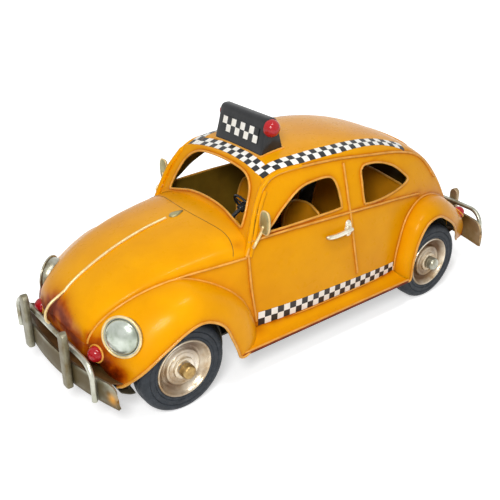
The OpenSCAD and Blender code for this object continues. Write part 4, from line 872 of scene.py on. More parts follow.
ROOT_R, LIP_R, SILL_R, COWL_R, PILLAR_R = 0.62, 0.8, 0.55, 0.75, 1.5
SILL_FRONT, SILL_REAR, SILL_Z, PILLAR_SHIFT = 52, -62, 27.0, [2.5, 1.1]
sill_path = on_side(joined(np.linspace(SILL_FRONT, SILL_REAR, 90), SILL_Z), BEAD_SIT)
rows = np.linspace(0, FENDER_END, 200)
front_edge = np.vstack([fender_surface("front", rows, lip_share("front", rows)),
                        fender_surface("front", FENDER_END, np.linspace(0.85, 0.15, 14))])
rear_edge = np.vstack([fender_surface("rear", 0.0, np.linspace(0.2, 0.69, 10)),
                       fender_surface("rear", rows, lip_share("rear", rows))])
board_edge = board[-4] + [0, -0.1, 0.1]
for side, sign in SIDES.items():
    way = [1, sign, 1]
    wires(f"side_wires_{side}", [(p * way, closed) for p, closed, _ in side_wires], WIRE, BEAD_R,
          replaces=[f"side_beads_{side}"])
    for name, paths, radius in (("root", (front_root_path, rear_root_path, bonnet_edge_path), ROOT_R),
                                ("lip", (resample(front_edge, 1.0), resample(rear_edge, 1.0)), LIP_R),
                                ("sill", (sill_path, board_edge), SILL_R)):
        wires(f"{name}_wires_{side}", [(p * way, False) for p in paths], WIRE, radius)
pillar_seam = on_side(np.vstack([curve(SCREEN_E, 0, 1.95, 24), curve(ROOF_E, 0, 1.5, 24)]), -0.5)
pillar_back = on_side(curve(SCREEN_E, 0, 1.9, 24) - PILLAR_SHIFT, -0.6)
pillars = [(way(line), False) for line in (pillar_seam, pillar_back) for way in (np.array, mirrored)]
wires("pillar_seams", pillars, PAINT, PILLAR_R, slot="yellow_paint")
corner = curve([[0.28, 0.74], [0.16, 0.83], [0.06, 0.92], [-0.02, 1.0]], 0, 3, 23)
corner = crowned(SCREEN_C, SCREEN_E, *corner.T) + [0.3, 0.4, 0.3]
wires("cowl_wires", [(corner, False), (mirrored(corner), False)], WIRE, COWL_R)
wires("screen_wire", [(screen_path, True)], WIRE, BEAD_R, replaces=["windscreen_bead"])
wires("rear_window_wire", [(rear_path, True)], WIRE, BEAD_R, replaces=["rear_window_bead"])

# Checks
CHECK_WALL = 0.25


def check_patch(name, grid, cells, rise):
    """Thin painted strip on a grid of points, with cells (rows, columns) of even black and white."""
    rows, columns = (count - 1 for count in grid.shape[:2])
    points, faces = grid_shell(grid, CHECK_WALL, (-10, 0, 50))
    i, j = np.divmod(np.arange(rows * columns), columns)
    squares = (i * cells[0] // rows + j * cells[1] // columns) % 2
    rim = np.zeros(len(faces) - 2 * len(squares), int)
    add_piece(name, raised(points, rise / CHECK_WALL), faces, [BLACK, WHITE], slot="sign_black",
              indices=np.concatenate([squares, squares, rim]))


def on_roof(x, y):
    rows, shares = solve_row(ROOF_C, ROOF_E, joined(np.ravel(y), np.ravel(x)), 0, (-0.6, 7))
    return crowned(ROOF_C, ROOF_E, rows, shares).reshape(*np.shape(x), 3)


STRIPE_COLUMNS, BAND_COLUMNS, FRONT_COLUMNS = 26, 27, 14
STRIPE_REAR, STRIPE_FRONT, BAND_REAR, BAND_FRONT, FRONT_HALF = -66.4, 50.6, -76.0, 37.4, 29.3
stripe_x = np.linspace(STRIPE_FRONT, STRIPE_REAR, STRIPE_COLUMNS * 4 + 1)
stripe_low = np.interp(stripe_x, [STRIPE_REAR, STRIPE_FRONT], [27.4, 28.3])
stripe_high = np.interp(stripe_x, [STRIPE_REAR, STRIPE_FRONT], [34.2, 37.3])
stripe = np.array([on_side(joined(stripe_x, stripe_low + (stripe_high - stripe_low) * s))
                   for s in np.linspace(0, 1, 9)])
band_x = np.linspace(BAND_FRONT, BAND_REAR, BAND_COLUMNS * 3 + 1)
band_outer = np.interp(band_x, [BAND_REAR, -66, -56, -44, -20, 10, BAND_FRONT],
                       [40.6, 38.8, 37.4, 37.3, 38.3, 38.2, 36.6])
band_width = np.interp(band_x, [BAND_REAR, BAND_FRONT], [6.0, 7.3])
band = np.array([on_roof(band_x, band_outer - band_width * s) for s in np.linspace(0, 1, 7)])
for name, grid, count, rise in (("sill", stripe, STRIPE_COLUMNS, 0.12), ("roof", band, BAND_COLUMNS, 0.1)):
    for side, sign in SIDES.items():
        check_patch(f"{name}_checks_{side}", grid * [1, sign, 1], (2, count), rise)
# The strip over the windscreen, with both edges bowed forward towards its ends
front_y = np.linspace(-FRONT_HALF, FRONT_HALF, FRONT_COLUMNS * 3 + 1)
edge_front = 34.9 + 3.0 * (front_y / 33) ** 2
edge_rear = 27.4 + 2.6 * (np.abs(front_y) / 29) ** 1.6
front_band = [on_roof(edge_rear + (edge_front - edge_rear) * s, front_y) for s in np.linspace(0, 1, 7)]
check_patch("roof_checks_front", np.array(front_band), (2, FRONT_COLUMNS), 0.1)

# Wheels: outlines of radius and height out from the wheel's face
TYRE_OUTLINE = [
    (17.1, -0.4), (17.6, 0.0), (18.4, 0.0), (18.8, -0.35), (19.2, 0.0), (21.4, 0.0), (21.8, -0.4), (22.2, 0.0),
    (22.9, 0.0), (24.3, -0.3), (25.3, -1.0), (26.0, -2.0), (26.35, -3.2), (26.4, -4.2), (25.9, -4.5),
    (25.9, -4.9), (26.4, -5.2), (26.4, -7.8), (25.9, -8.1), (25.9, -8.5), (26.4, -8.8), (26.35, -9.8),
    (26.0, -11.0), (25.3, -12.0), (24.3, -12.7), (22.9, -13.0), (17.6, -13.0), (17.1, -12.6)]
DISC_OUTLINE = [
    (2.1, -0.2), (5.6, -0.2), (6.2, -0.6), (6.4, -1.4), (6.6, -2.0), (7.2, -2.3), (8.6, -2.3), (9.2, -1.9),
    (9.9, -1.7), (10.5, -2.0), (10.8, -2.8), (11.0, -3.7), (11.6, -4.2), (12.6, -4.1), (13.9, -3.2),
    (15.0, -1.9), (15.6, -0.9), (15.9, -0.3), (16.3, 0.0), (16.8, -0.1), (17.05, -0.5), (17.05, -13.0),
    (15.7, -13.0), (15.7, -6.0), (5.6, -6.0), (5.6, -13.0), (2.1, -13.0)]
CAP_OUTLINE = [(0, 4.7), (1.0, 4.7), (1.4, 4.95), (2.6, 4.8), (3.5, 4.4), (4.0, 3.7), (4.2, 2.6), (4.2, 0.0),
               (3.6, -0.15), (2.1, -0.15), (2.1, 2.6), (0, 2.6)]
CAP_STAND, WHEEL_SEGMENTS = 0.4, 96
# Wash by depth in the dish, how strong it is at each end, and a streak of painted shade across the dish,
# darkest towards its lower front and its upper rear
dish_wash = np.repeat(np.interp([h for _, h in DISC_OUTLINE], [-4.2, -2.6, -1.8, -0.5], [1.0, 0.75, 0.25, 0.0]),
                      WHEEL_SEGMENTS)
DISH_STRENGTH = {"front": 0.3, "rear": 0.75}
SHADE_STREAK_X, SHADE_STREAK_Z, SHADE_STREAK_STRENGTH = 0.57, -0.82, 0.6
for end, x in AXLES.items():
    for side, sign in SIDES.items():
        way, corner = (0, sign, 0), f"{end}_{side}"
        verts, faces = lathe(TYRE_OUTLINE, (x, sign * WHEEL_FACE, AXLE_Z), way, WHEEL_SEGMENTS)
        add_piece(f"tyre_ring_{corner}", verts, faces, TYRE, body=f"wheel_{corner}", slot="tyre",
                  replaces=[f"tyre_{corner}"], smooth=28)
        verts, faces = lathe(DISC_OUTLINE, (x, sign * WHEEL_FACE, AXLE_Z), way, WHEEL_SEGMENTS)
        across, up = verts[:, 0] - x, verts[:, 2] - AXLE_Z
        reach = np.hypot(across, up)
        shade_streak = ((SHADE_STREAK_X * across + SHADE_STREAK_Z * up) / np.maximum(reach, 1)) ** 4
        shade_streak *= np.clip((reach - 5) / 6, 0.2, 1)
        wash_and_painted_light = np.clip(DISH_STRENGTH[end] * dish_wash + SHADE_STREAK_STRENGTH * shade_streak, 0, 1)
        add_piece(f"wheel_dish_{corner}", verts, faces, WHEEL, body=f"wheel_{corner}", slot="wheel_metal",
                  replaces=[f"wheel_disc_{corner}"], smooth=28, wash_and_painted_light=wash_and_painted_light, gilt=np.full(len(verts), 0.05))
        verts, faces = lathe(CAP_OUTLINE, (x, sign * (WHEEL_FACE + CAP_STAND), AXLE_Z), way, 64)
        add_piece(f"axle_cap_{corner}", verts, faces, CAP if end == "front" else PEWTER, slot="pewter",
                  replaces=[f"hub_cap_{corner}"], smooth=30)

# Lamps: end, row and share of the seat, splay, tilt, stand and a small shift, left and then right
LAMPS = {
    "headlight": [("front", 2.3, 0.41, 33, 14, 1.9, (0, 0, 0)),
                  ("front", 2.2, 0.4, 53, 5, 2.2, (-2.6, -5.4, -1.4))],
    "marker": [("front", 0.9, 0.29, 16, 8, 0.0, (0, 0, 0)),
               ("front", 0.85, 0.28, 22, 8, 0.6, (0.6, -6.4, 0.2))],
    "tail": [("rear", 6.9, 0.28, 168, 40, 0.0, (0, 0, 0))] * 2,
}
LAMP_OUT = 0.35


def lamp_pair(lamp, piece, outline, material, slot, replaces=()):
    parts = []
    for (end, row, share, splay, tilt, stand, shift), sign in zip(LAMPS[lamp], SIDES.values()):
        a, b = math.radians(splay), math.radians(tilt)
        axis = np.array([math.cos(b) * math.cos(a), math.cos(b) * math.sin(a), math.sin(b)])
        seat = fender_surface(end, row, share, LAMP_OUT) + stand * axis + shift
        verts, faces = lathe(outline, seat, axis, 64)
        parts.append((verts * [1, sign, 1], faces))
    materials = material if isinstance(material, list) else [material, material]
    add_piece(f"{lamp}_{piece}", *merged(parts), materials, slot=slot, replaces=replaces, smooth=35,
              indices=[0] * len(parts[0][1]) + [1] * len(parts[1][1]))


def ring_outline(radius, thick, height):
    return [(radius + thick * math.cos(a), height + thick * math.sin(a)) for a in around(12)]


def ball_outline(radius, foot):
    dome = [(radius * math.sin(a), radius * math.cos(a)) for a in np.linspace(0.1, QUARTER, 16)]
    return [(0, radius)] + dome + [(radius, -foot), (0, -foot)]


CUP_OUTLINE = [(0, -7.4), (3.0, -7.2), (5.4, -6.8), (7.4, -5.9), (8.9, -4.6), (9.9, -3.0), (10.3, -1.5),
               (10.4, 0.3), (10.2, 0.9), (9.8, 1.0), (9.45, 0.7), (9.4, -0.6), (0, -0.6)]
DOME_R, DOME_RISE, DOME_FOOT = 9.3, 4.1, 0.4
dome = [(0, DOME_FOOT + DOME_RISE)]
dome += [(DOME_R * math.sin(a), DOME_FOOT + DOME_RISE * math.cos(a)) for a in np.linspace(0.12, QUARTER, 16)]
dome += [(DOME_R, 0.0), (0, 0.0)]
lamp_pair("headlight", "cups", CUP_OUTLINE, PEWTER, "pewter", ["headlight_shells"])
lamp_pair("headlight", "domes", dome, LENS, "lens_metal", ["headlight_lenses"])
lamp_pair("headlight", "rings", ring_outline(10.8, 0.65, 0.8), [CREAM, PEWTER], "wire_paint")
BALL_FOOT, RING_OUT, RING_UP = 3.0, 0.35, -0.3
for lamp, radius, thick in (("marker", 4.4, 0.55), ("tail", 4.0, 0.5)):
    lamp_pair(lamp, "balls", ball_outline(radius, BALL_FOOT), RED, "lamp_red", [lamp + "_lamps"])
    lamp_pair(lamp, "rings", ring_outline(radius + RING_OUT, thick, RING_UP), WIRE, "wire_paint")

# Bumpers, drawn for the front and turned round for the rear
BLADE_REACH, BLADE_SWEEP, BLADE_WALL, BLADE_ROWS = 59.0, 9.5, 1.6, 16
BLADE_ROUND, BLADE_FLAT, BLADE_BULGE = 7, 52, 0.7
BLADE_FACE = HALF_LENGTH - 2.4
BLADE_RADIUS = (BLADE_REACH ** 2 + BLADE_SWEEP ** 2) / (2 * BLADE_SWEEP)
GUARD_OFFSET, GUARD_WIDTH, GUARD_HEIGHT = 24.0, 7.0, 33.0
BOW_R, TRAY_WALL, TRAY_UP, TRAY_FALL, ROOM = 1.6, 0.7, 11.6, 6.2, 0.1
# Bow's reach and height, tray's inner edge and half width, blade's lift and height, gold on the guards
BUMPERS = {"front": (46.0, 22.0, 138.0, 50.0, 0.0, 14.0, 0.02),
           "rear": (53.0, 25.0, 131.0, 38.0, 2.0, 17.5, 0.25)}
GUARD_STAIN, REAR_FACE_STAIN, REAR_FACE_GILT = 0.34, 0.6, 0.38
# Stain up the blade's face, as shares of its height. The dip a fifth of the way up and the drop at the top edge
# are painted highlight.
STAIN_AND_HIGHLIGHT_AT, STAIN_AND_HIGHLIGHT = [0, 0.1, 0.2, 0.45, 0.85, 0.95, 1], [1.0, 0.95, 0.7, 0.92, 0.95, 0.5, 0.15]


def blade_x(y):
    return BLADE_FACE - BLADE_RADIUS + np.sqrt(BLADE_RADIUS ** 2 - np.asarray(y, float) ** 2)


def blade_grid(lift, tall):
    bend = np.linspace(0, QUARTER, 16)
    ys = np.concatenate([-np.cos(bend)[:-1] * BLADE_ROUND - BLADE_FLAT,
                         np.linspace(-BLADE_FLAT, BLADE_FLAT, 90),
                         BLADE_FLAT + BLADE_ROUND * np.sin(bend)[1:]])
    bulge = BLADE_BULGE * (2 * np.linspace(0, 1, BLADE_ROWS) - 1) ** 4
    grid = []
    for y in ys:
        over = max(abs(y) - BLADE_FLAT, 0)
        top = tall - BLADE_ROUND + math.sqrt(max(BLADE_ROUND ** 2 - over ** 2, 0))
        grid.append(joined(blade_x(y) - bulge, y, CLEARANCE + lift + np.linspace(0, top, BLADE_ROWS)))
    return np.array(grid)


def guard_mesh(y):
    r = GUARD_WIDTH / 2
    back = float(blade_x(GUARD_OFFSET - r)) - 0.3
    half_deep = (HALF_LENGTH - back) / 2
    levels = [(0.0, 0.94), (0.5, 1.0)] + [(h, 1.0) for h in np.linspace(2, GUARD_HEIGHT - r, 12)]
    levels += [(GUARD_HEIGHT - r + r * math.sin(a), max(math.cos(a), 0.05))
               for a in np.linspace(0.15, 1.55, 12)]
    angles = around(28)
    section_x = back + half_deep + half_deep * squared(np.sin(angles), 0.6)
    section_y = squared(np.cos(angles), 0.45)
    return loft([joined(section_x, y + r * wide * section_y, CLEARANCE + h) for h, wide in levels])


def bow_mesh(reach, height):
    leg = float(blade_x(reach - BOW_R)) + BOW_R + ROOM
    bar = float(blade_x(GUARD_OFFSET + GUARD_WIDTH / 2)) - BOW_R - ROOM
    mid = float(blade_x(0)) - BOW_R - 2.0
    top, bend = CLEARANCE + height, 0.2 * reach
    half = [[leg, reach, z] for z in np.linspace(CLEARANCE + 1.2, top - bend, 10)]
    half += [[leg + (bar - leg) * a / math.pi, reach - bend + bend * math.cos(a),
              top - bend + bend * math.sin(a)] for a in np.linspace(0.1, QUARTER, 14)]
    half += [[bar + (mid - bar) * s * s, (GUARD_OFFSET + 6) * (1 - s), top] for s in np.linspace(0.1, 1, 12)]
    return tube(np.vstack([half, mirrored(half[:-1])[::-1]]), BOW_R, 14)


def tray_grid(inner_x, reach):
    ys = np.linspace(-reach, reach, 60)
    outer = blade_x(ys) - BLADE_WALL - ROOM
    inner = inner_x - 3.0 * (ys / reach) ** 2
    return np.array([joined(outer + (inner - outer) * s, ys, CLEARANCE + TRAY_UP - TRAY_FALL * s ** 1.5)
                     for s in np.linspace(0, 1, 10)])


def blade_stain_and_highlight(verts, lift, tall):
    """Brown stain on the blade's face, lighter along its edges where a highlight is painted, and yellow showing
    at its two ends.
    """
    up, away = (verts[:, 2] - CLEARANCE - lift) / tall, np.abs(verts[:, 1])
    stain = np.interp(up, STAIN_AND_HIGHLIGHT_AT, STAIN_AND_HIGHLIGHT)
    stain *= 1 - 0.55 * np.clip((away - 50) / 4, 0, 1) * (up > 0.45)
    gilt = np.exp(-((away - 56) / 2.6) ** 2 - ((up - 0.42) / 0.22) ** 2)
    spot = np.exp(-((away - 53.6) / 1.3) ** 2 - ((up - 0.62) / 0.1) ** 2)
    return np.clip(stain + spot, 0, 1), gilt


for end, (reach, height, tray_x, tray_half, lift, tall, guard_gilt) in BUMPERS.items():
    way = np.array([1, 1, 1] if end == "front" else [-1, -1, 1])
    # Painted shade: a dark tray fills the gap behind the blade
    shade_tray = grid_shell(tray_grid(tray_x, tray_half) * way, TRAY_WALL, (0, 0, -200))
    add_piece(f"{end}_tray", *shade_tray, TRAY_SHADE, slot="bare_tin")
    points, faces = grid_shell(blade_grid(lift, tall) * way, BLADE_WALL, (0, 0, 27))
    stain, gilt = blade_stain_and_highlight(points, lift, tall)
    if end == "rear":
        behind = len(points) // 2
        stain[behind:], gilt[behind:] = REAR_FACE_STAIN * stain[behind:], REAR_FACE_GILT
    add_piece(f"{end}_blade", points, faces, BUMPER, slot="pewter", replaces=[f"{end}_bumper_blade"],
              wash_and_painted_light=stain, gilt=gilt)
    verts, faces = merged([guard_mesh(GUARD_OFFSET), guard_mesh(-GUARD_OFFSET)])
    add_piece(f"{end}_guard_pair", verts * way, faces, BUMPER, slot="pewter", replaces=[f"{end}_bumper_guards"],
              wash_and_painted_light=np.full(len(verts), GUARD_STAIN), gilt=np.full(len(verts), guard_gilt))
    verts, faces = bow_mesh(reach, height)
    add_piece(f"{end}_bow", verts * way, faces, PEWTER, slot="pewter", replaces=[f"{end}_bumper_bow"])

# Bonnet strip with its handle
STRIP_RISE, STRIP_R = 0.6, 0.8
handle = places([[1.78, 0.487], [1.84, 0.473], [1.885, 0.457], [1.926, 0.43], [1.932, 0.396],
                 [1.905, 0.372]])
strip = np.vstack([curve(BONNET_C, 1.2, 4.5, 60) + [0, STRIP_RISE], curve(handle, 0, 5, 40)])
strip_x, strip_z = resample(strip, 1.0).T
wires("bonnet_wire", [(joined(strip_x, 0, strip_z), False)], CREAM, STRIP_R, slot="pewter",
      replaces=["bonnet_strip"], sides=14)

# Badge: a drop, with its levels as shares of its outline and heights
BADGE_HALF, BADGE_FRONT, BADGE_TAIL = 2.5, 3.0, 6.5
BADGE_LEVELS = [(1.0, -0.6), (1.0, 0.4), (0.93, 0.8), (0.75, 1.15), (0.45, 1.35), (0.15, 1.45)]
turn = around(40)
badge_long = np.where(np.cos(turn) > 0, BADGE_FRONT, BADGE_TAIL) * np.cos(turn)
badge_wide = BADGE_HALF * np.sin(turn) * np.where(
    badge_long < 0, 1 - np.abs(badge_long / BADGE_TAIL) ** 1.6 * 0.8, 1)
badge_at, badge_ahead = catmull(BONNET_C, 0.96), catmull(BONNET_C, 1.26)
slope = math.atan2(badge_at[1] - badge_ahead[1], badge_ahead[0] - badge_at[0])
add_piece("badge_drop", *loft([
    joined(badge_at[0] + badge_long * s * math.cos(slope) + h * math.sin(slope), badge_wide * s,
           badge_at[1] - badge_long * s * math.sin(slope) + h * math.cos(slope)) for s, h in BADGE_LEVELS]),
    OLIVE, slot="pewter", replaces=["bonnet_badge"])

# The lid's shut line across the cowl
shut = np.array([[65.8, 46.6], [63.6, 43.7], [61.9, 38.5], [61.4, 32.7], [62.1, 27.0], [63.6, 18.5],
                 [64.7, 9.0], [65.0, 0.0]])
shut = np.vstack([shut, shut[-2::-1] * [1, -1]])
shut = resample(curve(shut, 0, len(shut) - 1, 199), 1.2)
rows, shares = solve_row(BONNET_C, BONNET_E, shut[:, ::-1], 0, (-0.5, 3))
wires("lid_line", [(crowned(BONNET_C, BONNET_E, rows, shares), False)], DARK, 0.2, slot="yellow_paint", sides=8)

# Mirrors: a squarish head with its levels as shares of its outline and depths, on a bent stalk
MIRROR_HEAD, MIRROR_HALF, MIRROR_TALL, MIRROR_DEEP = np.array([47.0, 50.9, 93.0]), 3.9, 6.9, 0.99
MIRROR_LEVELS = [(0.55, -1.2), (0.85, -1.0), (0.97, -0.5), (1.0, 0.1), (0.98, 0.7), (0.93, 0.85), (0.9, 0.55),
                 (0.3, 0.5)]
turn = around(48)
oval = joined(0, MIRROR_HALF * squared(np.cos(turn), 0.6), MIRROR_TALL * squared(np.sin(turn), 0.9))
head = loft([MIRROR_HEAD + oval * s - [h * MIRROR_DEEP, 0, 0] for s, h in MIRROR_LEVELS])
foot = on_side([53.7, 79.3], 1.6)
stalk = curve([foot, foot + [-0.6, 1.4, 3.0], MIRROR_HEAD + [1.2, -2.2, -6.5],
               MIRROR_HEAD + [1.2, -0.4, -2.0]], 0, 3, 23)
bright = merged([tube(stalk, 0.85, 12), tube(MIRROR_HEAD + oval * 0.98 + [0.3, 0, 0], 0.5, 8, True)])
add_piece("mirror_pair", *both_sides(*merged([head, bright])), [OLIVE, CREAM], slot="pewter",
          replaces=["mirrors"], indices=([0] * len(head[1]) + [1] * len(bright[1])) * 2)

# Door handles: a lever on a boss and a back plate
HANDLE_AT, PLATE_AT, PLATE_HALF = np.array([-16.6, 71.5]), [-17.2, 71.8], [2.4, 5.0]
LEVER = np.array([[-1.5, 2.6, 0.2], [2, 3.0, 0.1], [8, 3.2, -0.3], [13, 3.0, -0.5], [17.0, 2.2, -0.3],
                  [18.4, 1.6, 0.1]])
PLATE_LEVELS = [(1.0, -0.3), (1.0, 0.5), (0.9, 0.9), (0.4, 1.0)]
BOSS_OUTLINE = [(0, 3.4), (1.2, 3.3), (1.8, 2.8), (2.0, 1.0), (2.3, 0.7), (2.4, -0.4), (0, -0.4)]
handle_at, turn = on_side(HANDLE_AT), around(32)
lever_r = np.interp(np.linspace(0, 1, 26), [0, 0.15, 0.8, 1], [1.3, 1.5, 1.3, 0.8])
plate = joined(squared(np.cos(turn), 0.7), squared(np.sin(turn), 0.7)) * PLATE_HALF
parts = [tube(handle_at + curve(LEVER, 0, 5, 25), lever_r, 14),
         lathe(BOSS_OUTLINE, handle_at, (0, 1, 0), 32),
         loft([on_side(PLATE_AT + plate * s, h) for s, h in PLATE_LEVELS])]
add_piece("handle_pair", *both_sides(*merged(parts)), POLISH, slot="pewter", replaces=["door_handles"])

# Roof sign: a block with a round top, its section inset at both ends
SIGN_X, SIGN_BASE, SIGN_HALF, SIGN_LAMP_UP = float(station(0.563)), 120.05, 22.0, 13.46
SIGN_INSETS = [(-22.0, 1.0), (-21.85, 0.5), (-21.4, 0.15), (-20.8, 0.0)]
SIGN_ROUND, SIGN_ROUND_Z, SIGN_MIDDLE = 3.0, 16.0, np.array([0.0, 7.0])
rising, falling = np.linspace(QUARTER, 0, 9), np.linspace(0, QUARTER, 9)
sign_loop = resample(np.vstack([
    [[-8.0, -3.0], [-8.1, -1.0], [-7.6, 1.5]],
    joined(-1.0 - SIGN_ROUND * np.sin(rising), SIGN_ROUND_Z + SIGN_ROUND * np.cos(rising)),
    joined(1.0 + SIGN_ROUND * np.sin(falling), SIGN_ROUND_Z + SIGN_ROUND * np.cos(falling)),
    [[7.6, 1.5], [8.1, -1.0], [8.0, -3.0]]]), 1.0, True)
away = sign_loop - SIGN_MIDDLE
away /= np.linalg.norm(away, axis=1)[:, None]
levels = SIGN_INSETS + [(y, 0.0) for y in np.linspace(-18, 18, 9)]
levels += [(-y, inset) for y, inset in SIGN_INSETS[::-1]]
rings = []
for y, inset in levels:
    x, z = (sign_loop - inset * away).T
    rings.append(joined(SIGN_X + x, y, SIGN_BASE + z))
add_piece("sign_block", *loft(rings), BLACK, slot="sign_black", replaces=["sign_box"], smooth=35)

SIGN_COLUMNS, SIGN_CHECK_HALF = 8, 16.8
low, high = np.array([SIGN_X + 7.05, SIGN_BASE + 4.2]), np.array([SIGN_X + 5.0, SIGN_BASE + 12.6])
check_y = np.linspace(-SIGN_CHECK_HALF, SIGN_CHECK_HALF, SIGN_COLUMNS * 3 + 1)
motif = []
for s in np.linspace(0, 1, 7):
    x, z = low + (high - low) * s
    motif.append(joined(x, check_y, z))
check_patch("sign_checks", np.array(motif), (2, SIGN_COLUMNS), 0.35)
# Radius of the left and the right lamp
SIGN_BALLS = {1: 5.2, -1: 3.6}
balls = [lathe(ball_outline(radius, 0.6), (SIGN_X + 0.6, sign * (SIGN_HALF - 0.4), SIGN_BASE + SIGN_LAMP_UP),
               (0, sign, 0), 48) for sign, radius in SIGN_BALLS.items()]
add_piece("sign_balls", *merged(balls), RED, slot="lamp_red", replaces=["sign_lamps"])
SIGN_FOOT = np.array([[8.6, -22.4], [8.6, 22.4], [-8.6, 22.4], [-8.6, -22.4]])
foot_x, foot_y = resample(SIGN_FOOT + [SIGN_X, 0], 2.0, True).T
wires("sign_foot_wire", [(on_roof(foot_x, foot_y) + [0, 0, 0.3], True)], WIRE, 0.6, slot="sign_black")

# Engine lid on the tail
LID_STEPS, LID_RISE = 50, 0.6
lid = crowned(ROOF_C, ROOF_E, np.linspace(7.55, 5.35, LID_STEPS)[:, None], np.linspace(-0.4, 0.4, LID_STEPS))
points, faces = grid_shell(lid, SHEET, (-60, 0, 40))
points = raised(points, LID_RISE)
outer = points[:LID_STEPS ** 2]
add_piece("lid_plate", points, faces, [PAINT], replaces=["engine_lid"],
          wash_and_painted_light=np.concatenate([wash_and_shade_at(outer), np.zeros(len(outer))]))
outer = outer.reshape(LID_STEPS, LID_STEPS, 3)
lid_edge = np.vstack([outer[0, :], outer[1:, -1], outer[-1, -2::-1], outer[-2:0:-1, 0]])
wires("lid_wire", [(resample(lid_edge, 2.0, True), True)], WIRE, 0.7)
slats = [crowned(ROOF_C, ROOF_E, row, np.linspace(-0.24, 0.24, 20)) + [-1.2, 0, 1.0]
         for row in np.linspace(5.55, 6.1, 6)]
wires("lid_louvres", [(slat, False) for slat in slats], PAINT, 0.85, slot="yellow_paint", sides=12)
grip = crowned(ROOF_C, ROOF_E, [7.1, 7.14, 7.26, 7.3], 0.0)
grip += [[-0.8, 0, 0.4], [-3.0, 0, 1.0], [-3.0, 0, 0.6], [-0.8, 0, 0.2]]
wires("lid_grip", [(curve(grip, 0, 3, 19), False)], PEWTER, 1.0, slot="pewter", sides=12)

# Steering wheel
WHEEL_TILT, STEER_R, STEER_WIRE, SPOKE_FROM, SPOKE_R = math.radians(60), 7.7, 0.8, 1.9, 0.6
HUB_OUTLINE = [(1.27, 1.1), (2.2, 1.0), (2.5, 0.5), (2.5, -0.9), (2.2, -1.2), (1.27, -1.2)]
axis = np.array([-math.sin(WHEEL_TILT), 0, math.cos(WHEEL_TILT)])
wheel_at = np.array([float(station(0.64)), 0.3 * BODY_WIDTH / 2, 0.72 * ROOF_HEIGHT])


def spoke(turn):
    """Direction from the steering wheel's hub."""
    left = np.array([0.0, 1.0, 0.0])
    return np.cos(turn)[..., None] * left + np.sin(turn)[..., None] * np.cross(axis, left)


parts = [tube(wheel_at + STEER_R * spoke(around(64)), STEER_WIRE, 12, True),
         lathe(HUB_OUTLINE, wheel_at, axis, 40)]
parts += [tube(np.linspace(wheel_at + SPOKE_FROM * d, wheel_at + STEER_R * d, 8), SPOKE_R, 10)
          for d in spoke(np.radians([90, 210, 330]))]
add_piece("steering_ring", *merged(parts), BLACK, body="steering", slot="black_paint",
          replaces=["steering_wheel"])

# Seats: bent tin with a round-topped back and a wire along its edge
SEAT_FLOOR, SEAT_TOP, SEAT_LENGTH, SEAT_BEND, SEAT_WALL, SEAT_COLUMNS = 21.3, 43.2, 32.0, 3, 0.9, 24


def add_seat(name, node, front_share, width, middle, back_top, lean, round_from):
    half, front_x = width / 2, float(station(front_share))
    bend, across = np.linspace(0, QUARTER, 6), np.linspace(-1, 1, SEAT_COLUMNS)
    path = resample(np.vstack([
        [[front_x, SEAT_FLOOR], [front_x, SEAT_TOP - SEAT_BEND]],
        joined(front_x - SEAT_BEND + SEAT_BEND * np.cos(bend), SEAT_TOP - SEAT_BEND + SEAT_BEND * np.sin(bend)),
        [[front_x - 12, SEAT_TOP + 0.6], [front_x - 22, SEAT_TOP]]]), 1.6)
    cushion = np.array([joined(path[:, 0], y, path[:, 1])
                        for y in np.linspace(middle - half, middle + half, SEAT_COLUMNS)])
    back = []
    for s in np.linspace(0, 1, 30):
        shrink = half * (arc(max(s - round_from, 0) / (1 - round_from)) * 0.62 + 0.38)
        x = front_x - SEAT_LENGTH - lean * max(s - 0.35, 0) / 0.65
        back.append(joined(x + 2.0 * across ** 2, middle + across * shrink,
                           SEAT_FLOOR + (back_top - SEAT_FLOOR) * s))
    back = np.array(back)
    verts, faces = merged([grid_shell(cushion, SEAT_WALL, (front_x - 16, middle, 0)),
                           grid_shell(back, SEAT_WALL, (front_x - 120, middle, 60))])
    add_piece(name, verts, faces, SEAT, slot="inner_tin", replaces=[node], wash_and_painted_light=np.full(len(verts), 0.12))
    edge = np.vstack([back[4:, 0], back[-1, 1:-1], back[4:, -1][::-1]])
    wires(name + "_edge", [(resample(edge, 1.5), False)], WIRE, 0.7, slot="inner_tin")


# Station of the front, width, middle, top of the back, lean, and the share where its top rounds off
add_seat("seat_left", "front_seat_left", 0.6, 36.0, 24.4, 81.0, 3.0, 0.66)
add_seat("seat_right", "front_seat_right", 0.6, 36.0, -24.4, 81.0, 3.0, 0.66)
add_seat("bench", "rear_bench", 0.25, 80.0, 0.0, 80.5, 10.0, 0.9)

# Solids that keep their own shape
FINISHES = {
    "floor_pan": UNDER_SHADE, "front_axle": STEEL, "rear_axle": STEEL, "front_axle_bracket": STEEL,
    "rear_axle_bracket": STEEL, "dashboard": INNER_SHADE, "steering_column": BLACK, "front_bumper_irons": STEEL,
    "rear_bumper_irons": STEEL,
}
for node, material in FINISHES.items():
    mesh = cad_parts[node].data
    mesh.materials.clear()
    mesh.materials.append(material)

# Floor: white to the eye, with the object's shadow kept close to it
FLOOR_HALF, FLOOR_GREY, SHADOW_HALF = 6, 0.85, (("X", 0.135), ("Y", 0.045))
FLOOR_GLOW = [(0.005, grey(0.52)), (0.1, grey(0.95))]
floor_mesh = bpy.data.meshes.new("studio_floor")
floor_corners = [(x * FLOOR_HALF, y * FLOOR_HALF, 0) for x, y in ((-1, -1), (1, -1), (1, 1), (-1, 1))]
floor_mesh.from_pydata(floor_corners, [], [(0, 1, 2, 3)])
floor = bpy.data.objects.new("studio_floor", floor_mesh)
bpy.context.scene.collection.objects.link(floor)


